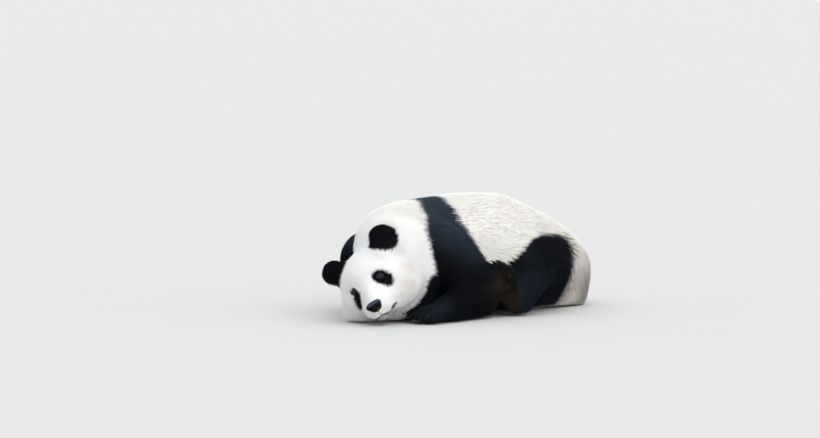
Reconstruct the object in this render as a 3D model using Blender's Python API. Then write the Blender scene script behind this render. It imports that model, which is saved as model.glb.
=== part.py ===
"""A life-size giant panda asleep on its belly, as a still museum model.

The animal lies with its head towards -X, its left side towards -Y and the floor
at z = 0. Its body is modelled whole, from named masses of flesh that are fused,
smoothed and thinned to facets, and is then parted into the pieces that a person
would name: head, neck, trunk, tail and the lengths of each leg.
Ears, eyes, nose and claws are solids of their own. All surfaces stand for the
tips of the coat. Metres, +Z up.
"""

import math

import bmesh
import bpy
from mathutils import Matrix, Vector

# ---------------------------------------------------------------- driving sizes
GAP = 0.0003  # clearance between neighbouring solids
VOXEL = 0.009  # cell in which the masses are fused
BLEND_STEPS = 10  # smoothing passes over the fused body
BODY_TRIANGLES = 2640  # facets of the whole body before it is parted
EAR_TRIANGLES = 150
VOLUME_SLACK = 0.0005  # share of its volume that a body may lose to merging facets
SHORT_EDGE = 0.0001
FLAT_ANGLE = 0.012  # facets nearer than this to one plane are one facet
FLESH_DETAIL = 4  # how finely balls are faceted where they are fused
TAIL_MARGIN = 0.008  # how far the tail's cut stands outside its masses
NECK_X = -0.135  # where the neck ends and the trunk begins
HEAD_BACK = -0.085  # where the head's cut passes, along its own forward axis
FLESH_MARGIN = 0.011  # how far a limb's cut stands outside its masses

# Stations along the back: distance behind the withers, height of the back, half width.
BACK = (
    (-0.120, 0.386, 0.180),
    (-0.040, 0.396, 0.208),
    (0.060, 0.403, 0.224),
    (0.160, 0.407, 0.240),
    (0.270, 0.401, 0.245),
    (0.360, 0.368, 0.232),
    (0.430, 0.341, 0.216),
    (0.500, 0.308, 0.199),
    (0.560, 0.264, 0.175),
)
BACK_REACH = 0.105  # how far each station's flesh reaches along the body
HIP_X = 0.43

HEAD_CENTRE = Vector((-0.369, -0.130, 0.1245))
HEAD_TURN = math.radians(38.8)  # towards the animal's left
HEAD_NOD = math.radians(6.5)  # nose down
HEAD_ROLL = math.radians(32.3)  # lying over on the right cheek
EYE_PLACE = (0.0512, 0.0935, 0.0270)  # left, forward and up from the head's centre
EYE_RADIUS = 0.0115
EAR_PLACE = (0.1030, -0.0180, 0.1250)
EAR_DROP = 0.018  # how much lower the right ear, pressed down, is set
EAR_RADIUS = 0.056
EAR_THICKNESS = 0.036
NOSE_FORWARD = 0.174
NOSE_UP = -0.043

TOES = 5
TOE_SPREAD = 0.16  # how far the outer toes turn outwards
TOE_TIP = 0.020  # from a toe's centre to its claw's root
CLAW_RADIUS = 0.0062
CLAW_LENGTH = 0.036
CLAW_BEND = 1.05  # radians from root to tip
CLAW_RINGS = 3
CLAW_SIDES = 6

BLACK = (0.012, 0.012, 0.014)
WHITE = (0.80, 0.75, 0.66)
HORN = (0.10, 0.085, 0.07)
EYE_BROWN = (0.02, 0.012, 0.008)


# ---------------------------------------------------------------- the head's own axes
def head_axes():
    """Left, forward and up of the turned, nodding, rolled head."""
    face = Vector(
        (
            -math.cos(HEAD_TURN) * math.cos(HEAD_NOD),
            -math.sin(HEAD_TURN) * math.cos(HEAD_NOD),
            -math.sin(HEAD_NOD),
        )
    )
    level_left = Vector((0, 0, 1)).cross(face).normalized()
    level_up = face.cross(level_left)
    left = level_left * math.cos(HEAD_ROLL) + level_up * math.sin(HEAD_ROLL)
    up = level_up * math.cos(HEAD_ROLL) - level_left * math.sin(HEAD_ROLL)
    return left, face, up


HEAD_LEFT, HEAD_FACE, HEAD_UP = head_axes()
HEAD_ROTATION = Matrix((-HEAD_LEFT, HEAD_FACE, HEAD_UP)).transposed().to_4x4()


def on_head(left, face, up):
    """A place given along the head's own axes."""
    return HEAD_CENTRE + HEAD_LEFT * left + HEAD_FACE * face + HEAD_UP * up


def head_ball(left, face, up, left_radius, face_radius, up_radius):
    """An ellipsoid whose axes are the head's."""
    return on_head(left, face, up), (left_radius, face_radius, up_radius), HEAD_ROTATION


# ---------------------------------------------------------------- mesh helpers
def link(name, data):
    obj = bpy.data.objects.new(name, data)
    bpy.context.scene.collection.objects.link(obj)
    return obj


def discard(obj):
    bpy.data.objects.remove(obj, do_unlink=True)


def add_ball(mesh, centre, radii, rotation=None, detail=2):
    """One ellipsoid in a bmesh."""
    if isinstance(radii, (int, float)):
        radii = (radii, radii, radii)
    turn = rotation or Matrix.Identity(4)
    place = Matrix.Translation(centre) @ turn @ Matrix.Diagonal((*radii, 1))
    bmesh.ops.create_icosphere(mesh, subdivisions=detail, radius=1, matrix=place)


def add_hull(mesh, balls, detail):
    """The convex hull of balls, each (centre, radii) or (centre, radii, rotation), in an empty bmesh."""
    for ball in balls:
        add_ball(mesh, *ball, detail=detail)
    if len(balls) == 1:
        return
    bmesh.ops.delete(mesh, geom=mesh.edges[:], context="EDGES_FACES")
    out = bmesh.ops.convex_hull(mesh, input=mesh.verts[:])
    inside = [v for v in out["geom_interior"] if isinstance(v, bmesh.types.BMVert)]
    bmesh.ops.delete(mesh, geom=inside, context="VERTS")
    bmesh.ops.triangulate(mesh, faces=mesh.faces)


def hulls_object(name, hulls, detail=2, grow=0.0):
    """Each hull is a list of balls; grow makes every ball that much larger."""
    data = bpy.data.meshes.new(name)
    mesh = bmesh.new()
    for balls in hulls:
        part = bmesh.new()
        grown = []
        for centre, radii, *turn in balls:
            if isinstance(radii, (int, float)):
                radii = (radii, radii, radii)
            grown.append((centre, [r + grow for r in radii], *turn))
        add_hull(part, grown, detail)
        piece = bpy.data.meshes.new("piece")
        part.to_mesh(piece)
        part.free()
        mesh.from_mesh(piece)
        bpy.data.meshes.remove(piece)
    bmesh.ops.recalc_face_normals(mesh, faces=mesh.faces)
    mesh.to_mesh(data)
    mesh.free()
    return link(name, data)


def settle(obj):
    """Makes the evaluated mesh the object's own, and clears its modifiers."""
    graph = bpy.context.evaluated_depsgraph_get()
    made = bpy.data.meshes.new_from_object(obj.evaluated_get(graph))
    obj.modifiers.clear()
    obj.data = made
    return obj


def fused(obj, voxel, steps, triangles):
    """One closed skin round overlapping masses, smoothed and thinned to facets."""
    remesh = obj.modifiers.new("fuse", "REMESH")
    remesh.mode = "VOXEL"
    remesh.voxel_size = voxel
    smooth = obj.modifiers.new("blend", "SMOOTH")
    smooth.factor = 0.5
    smooth.iterations = steps
    settle(obj)
    count = sum(len(face.vertices) - 2 for face in obj.data.polygons)
    thin = obj.modifiers.new("facets", "DECIMATE")
    thin.ratio = min(1.0, triangles / count)
    obj.modifiers.new("triangles", "TRIANGULATE")
    return settle(obj)


def boolean(obj, other, operation):
    cut = obj.modifiers.new("cut", "BOOLEAN")
    cut.operation = operation
    cut.object = other
    settle(obj)
    return keep_largest(obj)


def keep_largest(obj):
    """Drops the slivers that a cut leaves beside the main body."""
    mesh = bmesh.new()
    mesh.from_mesh(obj.data)
    unseen = set(mesh.verts)
    groups = []
    while unseen:
        front = [unseen.pop()]
        group = list(front)
        while front:
            vert = front.pop()
            for edge in vert.link_edges:
                other = edge.other_vert(vert)
                if other in unseen:
                    unseen.remove(other)
                    front.append(other)
                    group.append(other)
        groups.append(group)
    groups.sort(key=len, reverse=True)
    spare = [vert for group in groups[1:] for vert in group]
    bmesh.ops.delete(mesh, geom=spare, context="VERTS")
    bmesh.ops.triangulate(mesh, faces=mesh.faces)
    mesh.to_mesh(obj.data)
    mesh.free()
    merge_flat_facets(obj)
    return obj


def merge_flat_facets(obj):
    """Joins facets that a cut has split within one plane, where the body stays closed."""
    mesh = bmesh.new()
    mesh.from_mesh(obj.data)
    volume = mesh.calc_volume()
    bmesh.ops.dissolve_degenerate(mesh, dist=SHORT_EDGE, edges=mesh.edges[:])
    bmesh.ops.dissolve_limit(
        mesh, angle_limit=FLAT_ANGLE, verts=mesh.verts[:], edges=mesh.edges[:]
    )
    bmesh.ops.triangulate(mesh, faces=mesh.faces)
    closed = all(edge.is_manifold for edge in mesh.edges)
    if closed and abs(mesh.calc_volume() - volume) < VOLUME_SLACK * volume:
        mesh.to_mesh(obj.data)
    mesh.free()


def swollen(obj, by):
    """A copy whose faces stand out by this much."""
    copy = link(obj.name + "_swollen", obj.data.copy())
    mesh = bmesh.new()
    mesh.from_mesh(copy.data)
    mesh.normal_update()
    for vert in mesh.verts:
        vert.co += vert.normal * by * vert.calc_shell_factor()
    mesh.to_mesh(copy.data)
    mesh.free()
    return copy


def carve(obj, solid):
    """Cuts room for a neighbouring solid, with the gap all round it, and gives the neighbour back."""
    larger = swollen(solid, GAP)
    boolean(obj, larger, "DIFFERENCE")
    discard(larger)
    return solid


def take(obj, name, inner, outer):
    """Parts off what lies inside the inner cutter, and cuts obj back to the outer one."""
    taken = boolean(link(name, obj.data.copy()), inner, "INTERSECT")
    boolean(obj, outer, "DIFFERENCE")
    discard(inner)
    discard(outer)
    return taken


def joined_hulls(hulls, grow):
    """One closed cutter round several hulls that overlap."""
    whole, *others = (hulls_object("cut", [balls], grow=grow) for balls in hulls)
    for other in others:
        boolean(whole, other, "UNION")
        discard(other)
    return whole


def take_hulls(obj, name, hulls, margin):
    """Parts off what lies within a margin of these hulls."""
    return take(obj, name, joined_hulls(hulls, margin), joined_hulls(hulls, margin + GAP))


def take_beyond(obj, name, point, normal):
    """Parts off what lies beyond a plane."""
    back = Vector(normal).normalized() * GAP
    return take(obj, name, slab(point, normal), slab(Vector(point) - back, normal))


def slab(point, normal, reach=3.0):
    """A block that holds everything on the far side of a plane."""
    normal = Vector(normal).normalized()
    turn = normal.to_track_quat("Z", "Y").to_matrix().to_4x4()
    data = bpy.data.meshes.new("slab")
    mesh = bmesh.new()
    place = Matrix.Translation(Vector(point) + normal * reach / 2) @ turn
    bmesh.ops.create_cube(mesh, size=reach, matrix=place)
    mesh.to_mesh(data)
    mesh.free()
    return link("slab", data)


# ---------------------------------------------------------------- masses of flesh
def trunk_masses():
    """Flesh lofted from station to station along the back, resting broadly on the floor."""
    stations = []
    for x, height, half_width in BACK:
        deep = 0.52 * height
        low = 0.29 * height
        stations.append(
            [
                (Vector((x, 0, height - deep)), (BACK_REACH, half_width, deep)),
                (Vector((x, 0, low - 0.03)), (BACK_REACH, 0.91 * half_width, low)),
            ]
        )
    return [first + second for first, second in zip(stations, stations[1:])]


def neck_masses():
    nape = [
        (Vector((-0.225, -0.072, 0.238)), 0.150),
        (Vector((-0.110, -0.010, 0.238)), (0.130, 0.160, 0.156)),
    ]
    ruff = [
        (on_head(0.03, -0.07, -0.03), 0.120),
        (Vector((-0.200, -0.060, 0.160)), (0.130, 0.165, 0.150)),
    ]
    throat = [
        (on_head(0.02, -0.03, -0.06), 0.088),
        (Vector((-0.140, -0.030, 0.090)), (0.120, 0.150, 0.115)),
    ]
    return [nape, ruff, throat]


def head_masses():
    """A round skull, a low brow, full cheeks (the right one pressed flat) and a short muzzle."""
    cranium = [head_ball(0, -0.020, 0.020, 0.120, 0.124, 0.108)]
    brow = [head_ball(0, 0.050, 0.046, 0.088, 0.066, 0.062)]
    bridge = [
        head_ball(0, 0.078, 0.022, 0.040, 0.044, 0.040),
        head_ball(0, 0.142, -0.030, 0.026, 0.026, 0.020),
    ]
    left_cheek = [
        head_ball(0.070, 0.000, -0.018, 0.088, 0.096, 0.094),
        head_ball(0.064, 0.028, -0.044, 0.082, 0.074, 0.068),
    ]
    right_cheek = [
        head_ball(-0.050, 0.004, 0.000, 0.084, 0.098, 0.068),
        head_ball(-0.046, 0.028, -0.018, 0.070, 0.074, 0.052),
        (Vector((-0.392, -0.088, 0.046)), (0.070, 0.078, 0.056)),
    ]
    muzzle = [
        head_ball(side * 0.018, along, up, 0.040, 0.042, radius)
        for side in (-1, 1)
        for along, up, radius in ((0.080, -0.046, 0.046), (0.130, -0.054, 0.036))
    ]
    chin = [
        head_ball(0, 0.080, -0.080, 0.048, 0.050, 0.034),
        head_ball(0, 0.126, -0.088, 0.026, 0.028, 0.020),
    ]
    return [cranium, brow, bridge, left_cheek, right_cheek, muzzle, chin]


def ear_balls(side):
    """A round thick disc, set on the crown and turned a little out and forward."""
    left, face_offset, up = EAR_PLACE
    centre = on_head(side * left, face_offset, up if side > 0 else up - EAR_DROP)
    out = (HEAD_LEFT * side * 0.55 + HEAD_UP * 0.80).normalized()
    face = (HEAD_FACE * 0.94 + HEAD_LEFT * side * 0.28).normalized()
    across = face.cross(out).normalized()
    face = out.cross(across).normalized()
    turn = Matrix((across, face, out)).transposed().to_4x4()
    disc = (centre, (EAR_RADIUS, EAR_THICKNESS / 2, EAR_RADIUS * 0.86), turn)
    root = (centre - out * 0.030, (EAR_RADIUS * 0.74, EAR_THICKNESS * 0.62, 0.030), turn)
    return [disc, root]


def tail_balls():
    return [
        (Vector((HIP_X + 0.205, 0, 0.135)), (0.042, 0.052, 0.045)),
        (Vector((HIP_X + 0.232, 0, 0.070)), (0.032, 0.042, 0.042)),
    ]


class Limb:
    """One leg: named hulls, and a paw set by where its toes point and where its back faces."""

    def __init__(self, name, hulls, paw_root, toes_towards, back_towards, size):
        self.name = name
        self.hulls = hulls
        self.root = paw_root
        self.forward = toes_towards.normalized()
        self.across = self.forward.cross(back_towards).normalized()
        self.back = self.across.cross(self.forward).normalized()
        self.length, self.width, self.depth = size

    def toe_fan(self):
        """For each toe: its share across the paw from -1 to 1, its centre and its direction."""
        for index in range(TOES):
            share = 2 * index / (TOES - 1) - 1
            reach = self.length * (0.80 - 0.10 * share * share)
            centre = (
                self.root
                + self.forward * reach
                + self.across * share * self.width * 0.40
                - self.back * self.depth * 0.06
            )
            towards = (self.forward + self.across * share * TOE_SPREAD).normalized()
            yield share, centre, towards

    def paw_hulls(self):
        turn = Matrix((self.across, self.forward, self.back)).transposed().to_4x4()
        half = self.depth / 2
        palm = [
            (self.root, (self.width * 0.36, half, half), turn),
            (
                self.root + self.forward * self.length * 0.58,
                (self.width * 0.50, half * 1.1, half),
                turn,
            ),
        ]
        toes = [
            [
                (centre - towards * TOE_TIP, half * 0.72),
                (centre + towards * self.length * 0.08, half * 0.62),
            ]
            for _, centre, towards in self.toe_fan()
        ]
        return [palm, *toes]

    def paw_balls(self):
        """Balls whose hull holds the whole paw."""
        balls = [(self.root, self.depth * 0.5)]
        for share, centre, towards in self.toe_fan():
            if abs(share) == 1:
                balls.append((centre + towards * self.length * 0.08, self.depth * 0.36))
        balls.append((self.root + self.forward * self.length * 0.80, self.depth * 0.5))
        return balls

    def masses(self):
        return [*self.hulls.values(), *self.paw_hulls()]


def forelegs():
    """Left: elbow out beside the chest, forearm along the floor. Right: tucked under the throat."""
    left = Limb(
        "fore_left",
        {
            "upper": [
                (Vector((-0.105, -0.150, 0.215)), (0.110, 0.088, 0.118)),
                (Vector((0.000, -0.232, 0.085)), 0.072),
            ],
            "lower": [
                (Vector((0.002, -0.236, 0.062)), 0.068),
                (Vector((-0.175, -0.276, 0.046)), 0.054),
            ],
        },
        Vector((-0.195, -0.280, 0.036)),
        Vector((-1.00, 0.02, -0.05)),
        Vector((0, 0, 1)),
        (0.120, 0.108, 0.068),
    )
    right = Limb(
        "fore_right",
        {
            "upper": [
                (Vector((-0.155, 0.146, 0.178)), (0.112, 0.092, 0.108)),
                (Vector((0.020, 0.232, 0.085)), 0.072),
            ],
            "lower": [
                (Vector((0.020, 0.238, 0.062)), 0.068),
                (Vector((-0.096, 0.198, 0.046)), 0.054),
            ],
        },
        Vector((-0.110, 0.190, 0.036)),
        Vector((-0.88, -0.47, -0.05)),
        Vector((0, 0, 1)),
        (0.125, 0.112, 0.070),
    )
    return [left, right]


def hindleg(name, side):
    """Folded forward beside the belly, heel on the floor, toes up and sole to the front."""
    return Limb(
        name,
        {
            "upper": [
                (Vector((HIP_X - 0.045, side * 0.150, 0.130)), (0.110, 0.098, 0.112)),
                (Vector((0.275, side * 0.222, 0.155)), (0.088, 0.068, 0.092)),
            ],
            "lower": [
                (Vector((0.255, side * 0.240, 0.148)), 0.072),
                (Vector((0.148, side * 0.266, 0.055)), 0.058),
            ],
        },
        Vector((0.124, side * 0.272, 0.038)),
        Vector((-0.43, side * 0.10, 0.74)),
        Vector((0.84, side * -0.10, 0.52)),
        (0.178, 0.100, 0.072),
    )


# ---------------------------------------------------------------- single solids
def claw_line(root, towards, down, bend):
    """Where the claw's middle line is after turning through this bend."""
    along = math.sin(bend) / CLAW_BEND
    sunk = (1 - math.cos(bend)) / CLAW_BEND
    return root + CLAW_LENGTH * (towards * along + down * sunk)


def claw(name, root, towards, down):
    """A tapered claw that curves from its toe towards the sole."""
    across = towards.cross(down).normalized()
    data = bpy.data.meshes.new(name)
    mesh = bmesh.new()
    loops = []
    for step in range(CLAW_RINGS):
        share = step / CLAW_RINGS
        bend = share * CLAW_BEND
        centre = claw_line(root, towards, down, bend)
        outward = down * math.cos(bend) - towards * math.sin(bend)
        thick = CLAW_RADIUS * (1 - share) ** 0.7
        loop = []
        for side in range(CLAW_SIDES):
            angle = 2 * math.pi * side / CLAW_SIDES
            spoke = across * math.cos(angle) * 0.68 + outward * math.sin(angle)
            loop.append(mesh.verts.new(centre + spoke * thick))
        loops.append(loop)
    tip = mesh.verts.new(claw_line(root, towards, down, CLAW_BEND))
    for first, second in zip(loops, loops[1:]):
        for side in range(CLAW_SIDES):
            after = (side + 1) % CLAW_SIDES
            mesh.faces.new((first[side], first[after], second[after], second[side]))
    for side in range(CLAW_SIDES):
        mesh.faces.new((loops[-1][side], loops[-1][(side + 1) % CLAW_SIDES], tip))
    mesh.faces.new(list(reversed(loops[0])))
    bmesh.ops.recalc_face_normals(mesh, faces=mesh.faces)
    mesh.to_mesh(data)
    mesh.free()
    return link(name, data)


def limb_claws(limb):
    """One claw at each toe's tip, leaning on towards the sole."""
    made = []
    for index, (_, centre, towards) in enumerate(limb.toe_fan()):
        root = centre + towards * TOE_TIP + limb.back * limb.depth * 0.10
        made.append(claw(f"claw_{limb.name}_{index + 1}", root, towards, -limb.back))
    return made


def nose():
    """The broad pad, wider at its top, that caps the muzzle."""
    pad = [
        [
            head_ball(0, NOSE_FORWARD - 0.004, NOSE_UP + 0.008, 0.028, 0.013, 0.012),
            head_ball(0, NOSE_FORWARD, NOSE_UP - 0.012, 0.011, 0.010, 0.009),
        ]
    ]
    return hulls_object("nose", pad)


def eye_centre(side):
    left, face, up = EYE_PLACE
    return on_head(side * left, face, up)


def eye(name, side):
    data = bpy.data.meshes.new(name)
    mesh = bmesh.new()
    add_ball(mesh, eye_centre(side), EYE_RADIUS, HEAD_ROTATION)
    mesh.to_mesh(data)
    mesh.free()
    return link(name, data)


def eye_hollow(side):
    """The hollow between brow, bridge and cheek that an eye looks out of."""
    towards = (HEAD_FACE * 0.93 + HEAD_LEFT * side * 0.36).normalized()
    centre = eye_centre(side) + towards * 0.012
    opening = (centre, (0.016, 0.014, 0.013), HEAD_ROTATION)
    return hulls_object("eye_hollow", [[opening, (centre + towards * 0.03, 0.024)]])


# ---------------------------------------------------------------- the build
def material(name, colour, roughness):
    made = bpy.data.materials.new(name)
    made.use_nodes = True
    shader = made.node_tree.nodes["Principled BSDF"]
    shader.inputs["Base Color"].default_value = (*colour, 1)
    shader.inputs["Roughness"].default_value = roughness
    made.diffuse_color = (*colour, 1)
    return made


def whole_body(limbs):
    masses = [*trunk_masses(), *neck_masses(), *head_masses(), tail_balls()]
    for limb in limbs:
        masses += limb.masses()
    return fused(
        hulls_object("trunk", masses, detail=FLESH_DETAIL), VOXEL, BLEND_STEPS, BODY_TRIANGLES
    )


def ear(name, side):
    return fused(hulls_object(name, [ear_balls(side)]), VOXEL / 2, 4, EAR_TRIANGLES)


def part_limb(body, limb):
    """Takes a leg off the body and parts it at its two joints."""
    upper, lower = limb.hulls.values()
    leg = take_hulls(body, f"{limb.name}_upper", [upper, lower, limb.paw_balls()], FLESH_MARGIN)
    shoulder, elbow = (ball[0] for ball in upper)
    fold = (elbow - shoulder).normalized()
    along = (limb.root - elbow).normalized()
    paw = take_beyond(leg, f"{limb.name}_paw", limb.root, along + limb.forward)
    shank = take_beyond(leg, f"{limb.name}_lower", elbow, fold + along)
    return [leg, shank, paw]


def part_head(body):
    """The head, with hollows for its eyes and seats for eyes and nose."""
    head = take_beyond(body, "head", on_head(0, HEAD_BACK, 0), HEAD_FACE)
    eyes = []
    for name, side in (("eye_left", 1), ("eye_right", -1)):
        hollow = eye_hollow(side)
        boolean(head, hollow, "DIFFERENCE")
        discard(hollow)
        eyes.append(carve(head, eye(name, side)))
    return head, eyes, carve(head, nose())


def main():
    for obj in list(bpy.data.objects):
        bpy.data.objects.remove(obj, do_unlink=True)
    limbs = [*forelegs(), hindleg("hind_left", -1), hindleg("hind_right", 1)]
    body = whole_body(limbs)

    ears = [ear("ear_left", 1), ear("ear_right", -1)]
    claws = [each for limb in limbs for each in limb_claws(limb)]
    larger = swollen(body, GAP)
    for obj in (*ears, *claws):
        boolean(obj, larger, "DIFFERENCE")
    discard(larger)
    floor = slab((0, 0, 0), (0, 0, -1))
    boolean(body, floor, "DIFFERENCE")
    discard(floor)

    legs = [piece for limb in limbs for piece in part_limb(body, limb)]
    tail = take_hulls(body, "tail", [tail_balls()], TAIL_MARGIN)
    head, eyes, nose_pad = part_head(body)
    neck = take_beyond(body, "neck", (NECK_X, 0, 0.2), (-1, -0.15, 0.1))

    for objects, colour, roughness in (
        ([*legs, *ears, nose_pad], BLACK, 0.75),
        ([head, neck, body, tail], WHITE, 0.8),
        (claws, HORN, 0.4),
        (eyes, EYE_BROWN, 0.08),
    ):
        for obj in objects:
            obj.data.materials.clear()
            obj.data.materials.append(material(obj.name, colour, roughness))


if __name__ == "__main__":
    main()
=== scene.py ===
"""The looks of a life-size museum model of a giant panda asleep on its belly.

One skin stands for all nodes of flesh. A coat of solid tufts grows on it, and
eyes, nose and claws are pieces of their own. Metres, +Z up, head towards -X,
the animal's left side towards -Y.
"""

import math

import bmesh
import bpy
import numpy as np
from bpy.props import FloatProperty, FloatVectorProperty, PointerProperty
from bpy.types import Operator, Panel, PropertyGroup
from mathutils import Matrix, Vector, noise
from mathutils.bvhtree import BVHTree
from mathutils.kdtree import KDTree


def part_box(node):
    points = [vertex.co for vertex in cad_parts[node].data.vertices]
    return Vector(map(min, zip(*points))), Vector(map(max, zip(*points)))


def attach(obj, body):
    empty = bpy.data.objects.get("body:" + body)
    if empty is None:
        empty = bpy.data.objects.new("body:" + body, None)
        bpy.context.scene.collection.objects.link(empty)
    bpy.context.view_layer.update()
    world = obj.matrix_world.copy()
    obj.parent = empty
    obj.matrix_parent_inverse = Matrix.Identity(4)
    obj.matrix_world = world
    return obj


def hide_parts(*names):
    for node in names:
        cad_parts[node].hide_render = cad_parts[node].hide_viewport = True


bl_info = {
    "name": "Sleeping Giant Panda",
    "version": (1, 0, 0),
    "blender": (4, 5, 0),
    "location": "3D View > Sidebar > Panda",
    "description": "Builds the skin, coat, eyes, nose and claws of a sleeping giant panda",
    "category": "Add Mesh",
}

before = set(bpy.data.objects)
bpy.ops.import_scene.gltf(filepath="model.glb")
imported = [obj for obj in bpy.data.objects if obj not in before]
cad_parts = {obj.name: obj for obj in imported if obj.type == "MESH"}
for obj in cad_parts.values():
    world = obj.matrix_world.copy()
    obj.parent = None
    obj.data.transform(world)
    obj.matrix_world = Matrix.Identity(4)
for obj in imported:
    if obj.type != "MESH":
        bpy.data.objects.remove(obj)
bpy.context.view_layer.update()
SEED = 11

# ---------------------------------------------------------------- the animal's own places
HEAD_CENTRE = Vector((-0.369, -0.130, 0.1245))
HEAD_TURN = math.radians(38.8)
HEAD_NOD = math.radians(6.5)
HEAD_ROLL = math.radians(32.3)
EAR_PLACE = (0.1030, -0.0180, 0.1250)
EAR_DROP = 0.018  # how much lower the right ear is set
EAR_HALF = (0.056, 0.018, 0.048)  # across, through and up
NOSE_PLACE = (0.0, 0.174, -0.045)
EYE_RADIUS = 0.0115

# Joints from shoulder or hip to wrist or heel, the toes' direction, the paw's back, and its size.
LEGS = {
    "fore_left": (
        ((-0.105, -0.150, 0.215), (0.000, -0.232, 0.085), (-0.195, -0.280, 0.036)),
        (-1.00, 0.02, -0.05),
        (0, 0, 1),
        (0.120, 0.108, 0.068),
    ),
    "fore_right": (
        ((-0.155, 0.146, 0.178), (0.020, 0.232, 0.085), (-0.110, 0.190, 0.036)),
        (-0.88, -0.47, -0.05),
        (0, 0, 1),
        (0.125, 0.112, 0.070),
    ),
    "hind_left": (
        ((0.385, -0.150, 0.130), (0.255, -0.240, 0.148), (0.124, -0.272, 0.038)),
        (-0.43, -0.10, 0.74),
        (0.84, 0.10, 0.52),
        (0.178, 0.100, 0.072),
    ),
}
TOES = 5
TOE_SHARES = tuple(2 * toe / (TOES - 1) - 1 for toe in range(TOES))  # across the paw
SIDES = (1, -1)  # the animal's left and right
PLAIN_SKIN = "plain skin"
MAP = "OFBake"
FLESH = sorted(
    name
    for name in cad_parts
    if name.split("_")[0] in ("head", "neck", "trunk", "tail", "ear", "fore", "hind")
)
COATED = [*FLESH, "nose", "eye_left", "eye_right"]  # the skin runs on round the eyes and the nose


def mirrored(leg):
    """The same leg on the other side."""
    joints, forward, back, size = leg
    turned = [(x, -y, z) for x, y, z in (*joints, forward, back)]
    return tuple(turned[:3]), turned[3], turned[4], size


LEGS["hind_right"] = mirrored(LEGS["hind_left"])


def head_axes():
    """Left, forward and up of the turned, nodding, rolled head."""
    face = Vector(
        (
            -math.cos(HEAD_TURN) * math.cos(HEAD_NOD),
            -math.sin(HEAD_TURN) * math.cos(HEAD_NOD),
            -math.sin(HEAD_NOD),
        )
    )
    level_left = Vector((0, 0, 1)).cross(face).normalized()
    level_up = face.cross(level_left)
    left = level_left * math.cos(HEAD_ROLL) + level_up * math.sin(HEAD_ROLL)
    up = level_up * math.cos(HEAD_ROLL) - level_left * math.sin(HEAD_ROLL)
    return left, face, up


HEAD_LEFT, HEAD_FACE, HEAD_UP = head_axes()
HEAD_ROWS = np.array([HEAD_LEFT, HEAD_FACE, HEAD_UP])


def on_head(left, face, up):
    """A place given along the head's own axes."""
    return HEAD_CENTRE + HEAD_LEFT * left + HEAD_FACE * face + HEAD_UP * up


def in_head(places):
    """World places, as rows, along the head's own axes."""
    return (places - np.array(HEAD_CENTRE)) @ HEAD_ROWS.T


def eye_centre(side):
    low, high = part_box("eye_left" if side > 0 else "eye_right")
    return (low + high) / 2


# ---------------------------------------------------------------- numbers over a mesh
def smoothstep(low, high, value):
    share = np.clip((value - low) / (high - low), 0, 1)
    return share * share * (3 - 2 * share)


def unit(rows):
    return rows / np.maximum(np.linalg.norm(rows, axis=-1, keepdims=True), 1e-12)


def read(items, name, width=1, kind=np.float32):
    """One value, or a row of them, for each item of a Blender collection."""
    values = np.empty(len(items) * width, kind)
    items.foreach_get(name, values)
    return values.reshape(-1, width) if width > 1 else values


# How a mesh stores one number, a vector or a colour.
LAYERS = {1: ("FLOAT", "value"), 3: ("FLOAT_VECTOR", "vector"), 4: ("FLOAT_COLOR", "color")}


def write(mesh, name, values, domain="POINT"):
    """Stores numbers, or rows of three or four, as a named attribute of the mesh."""
    kind, field = LAYERS[values.shape[-1] if values.ndim > 1 else 1]
    layer = mesh.attributes.get(name) or mesh.attributes.new(name, kind, domain)
    layer.data.foreach_set(field, np.ascontiguousarray(values, np.float32).ravel())


def move(mesh, places):
    mesh.vertices.foreach_set("co", places.astype(np.float32).ravel())
    mesh.update()


def lengths(rows):
    return np.linalg.norm(rows, axis=1)


def waves(places, scale, height):
    """Smooth noise over places, this high either way."""
    return np.array([noise.noise(Vector(place) * scale) for place in places]) * height


def bulge(distance, reach, height):
    """A smooth rise of this height that dies away over this reach."""
    return height * np.exp(-((distance / reach) ** 2))


def greys(values):
    """Each value as an opaque grey."""
    return np.array([(value, value, value, 1) for value in values])


class Net:
    """A mesh's points and edges as arrays, to smooth what they carry."""

    def __init__(self, mesh):
        self.points = read(mesh.vertices, "co", 3).astype(float)
        self.normals = read(mesh.vertex_normals, "vector", 3).astype(float)
        self.ends = read(mesh.edges, "vertices", 2, np.int32)
        self.count = np.bincount(self.ends.ravel(), minlength=len(self.points))[:, None]

    def smooth(self, values, steps, share=0.6):
        """Each pass moves a value this share of the way to its neighbours' mean."""
        rows = np.asarray(values, float).reshape(len(self.points), -1)
        one, other = self.ends.T
        size = len(rows)
        for _ in range(steps):
            total = np.stack(
                [
                    np.bincount(one, column[other], size) + np.bincount(other, column[one], size)
                    for column in rows.T
                ],
                1,
            )
            rows = rows * (1 - share) + total / np.maximum(self.count, 1) * share
        return rows.reshape(np.shape(values))


def mesh_tree(mesh):
    faces = [tuple(face.vertices) for face in mesh.polygons]
    return BVHTree.FromPolygons([v.co[:] for v in mesh.vertices], faces)


def link(name, data):
    obj = bpy.data.objects.new(name, data)
    bpy.context.scene.collection.objects.link(obj)
    return obj


def made_object(mesh, name):
    """A new object of what a bmesh holds."""
    data = bpy.data.meshes.new(name)
    mesh.to_mesh(data)
    mesh.free()
    return link(name, data)


def settle(obj):
    """Makes the evaluated mesh the object's own, and clears its modifiers."""
    graph = bpy.context.evaluated_depsgraph_get()
    made = bpy.data.meshes.new_from_object(obj.evaluated_get(graph))
    obj.modifiers.clear()
    obj.data = made
    return obj


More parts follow.
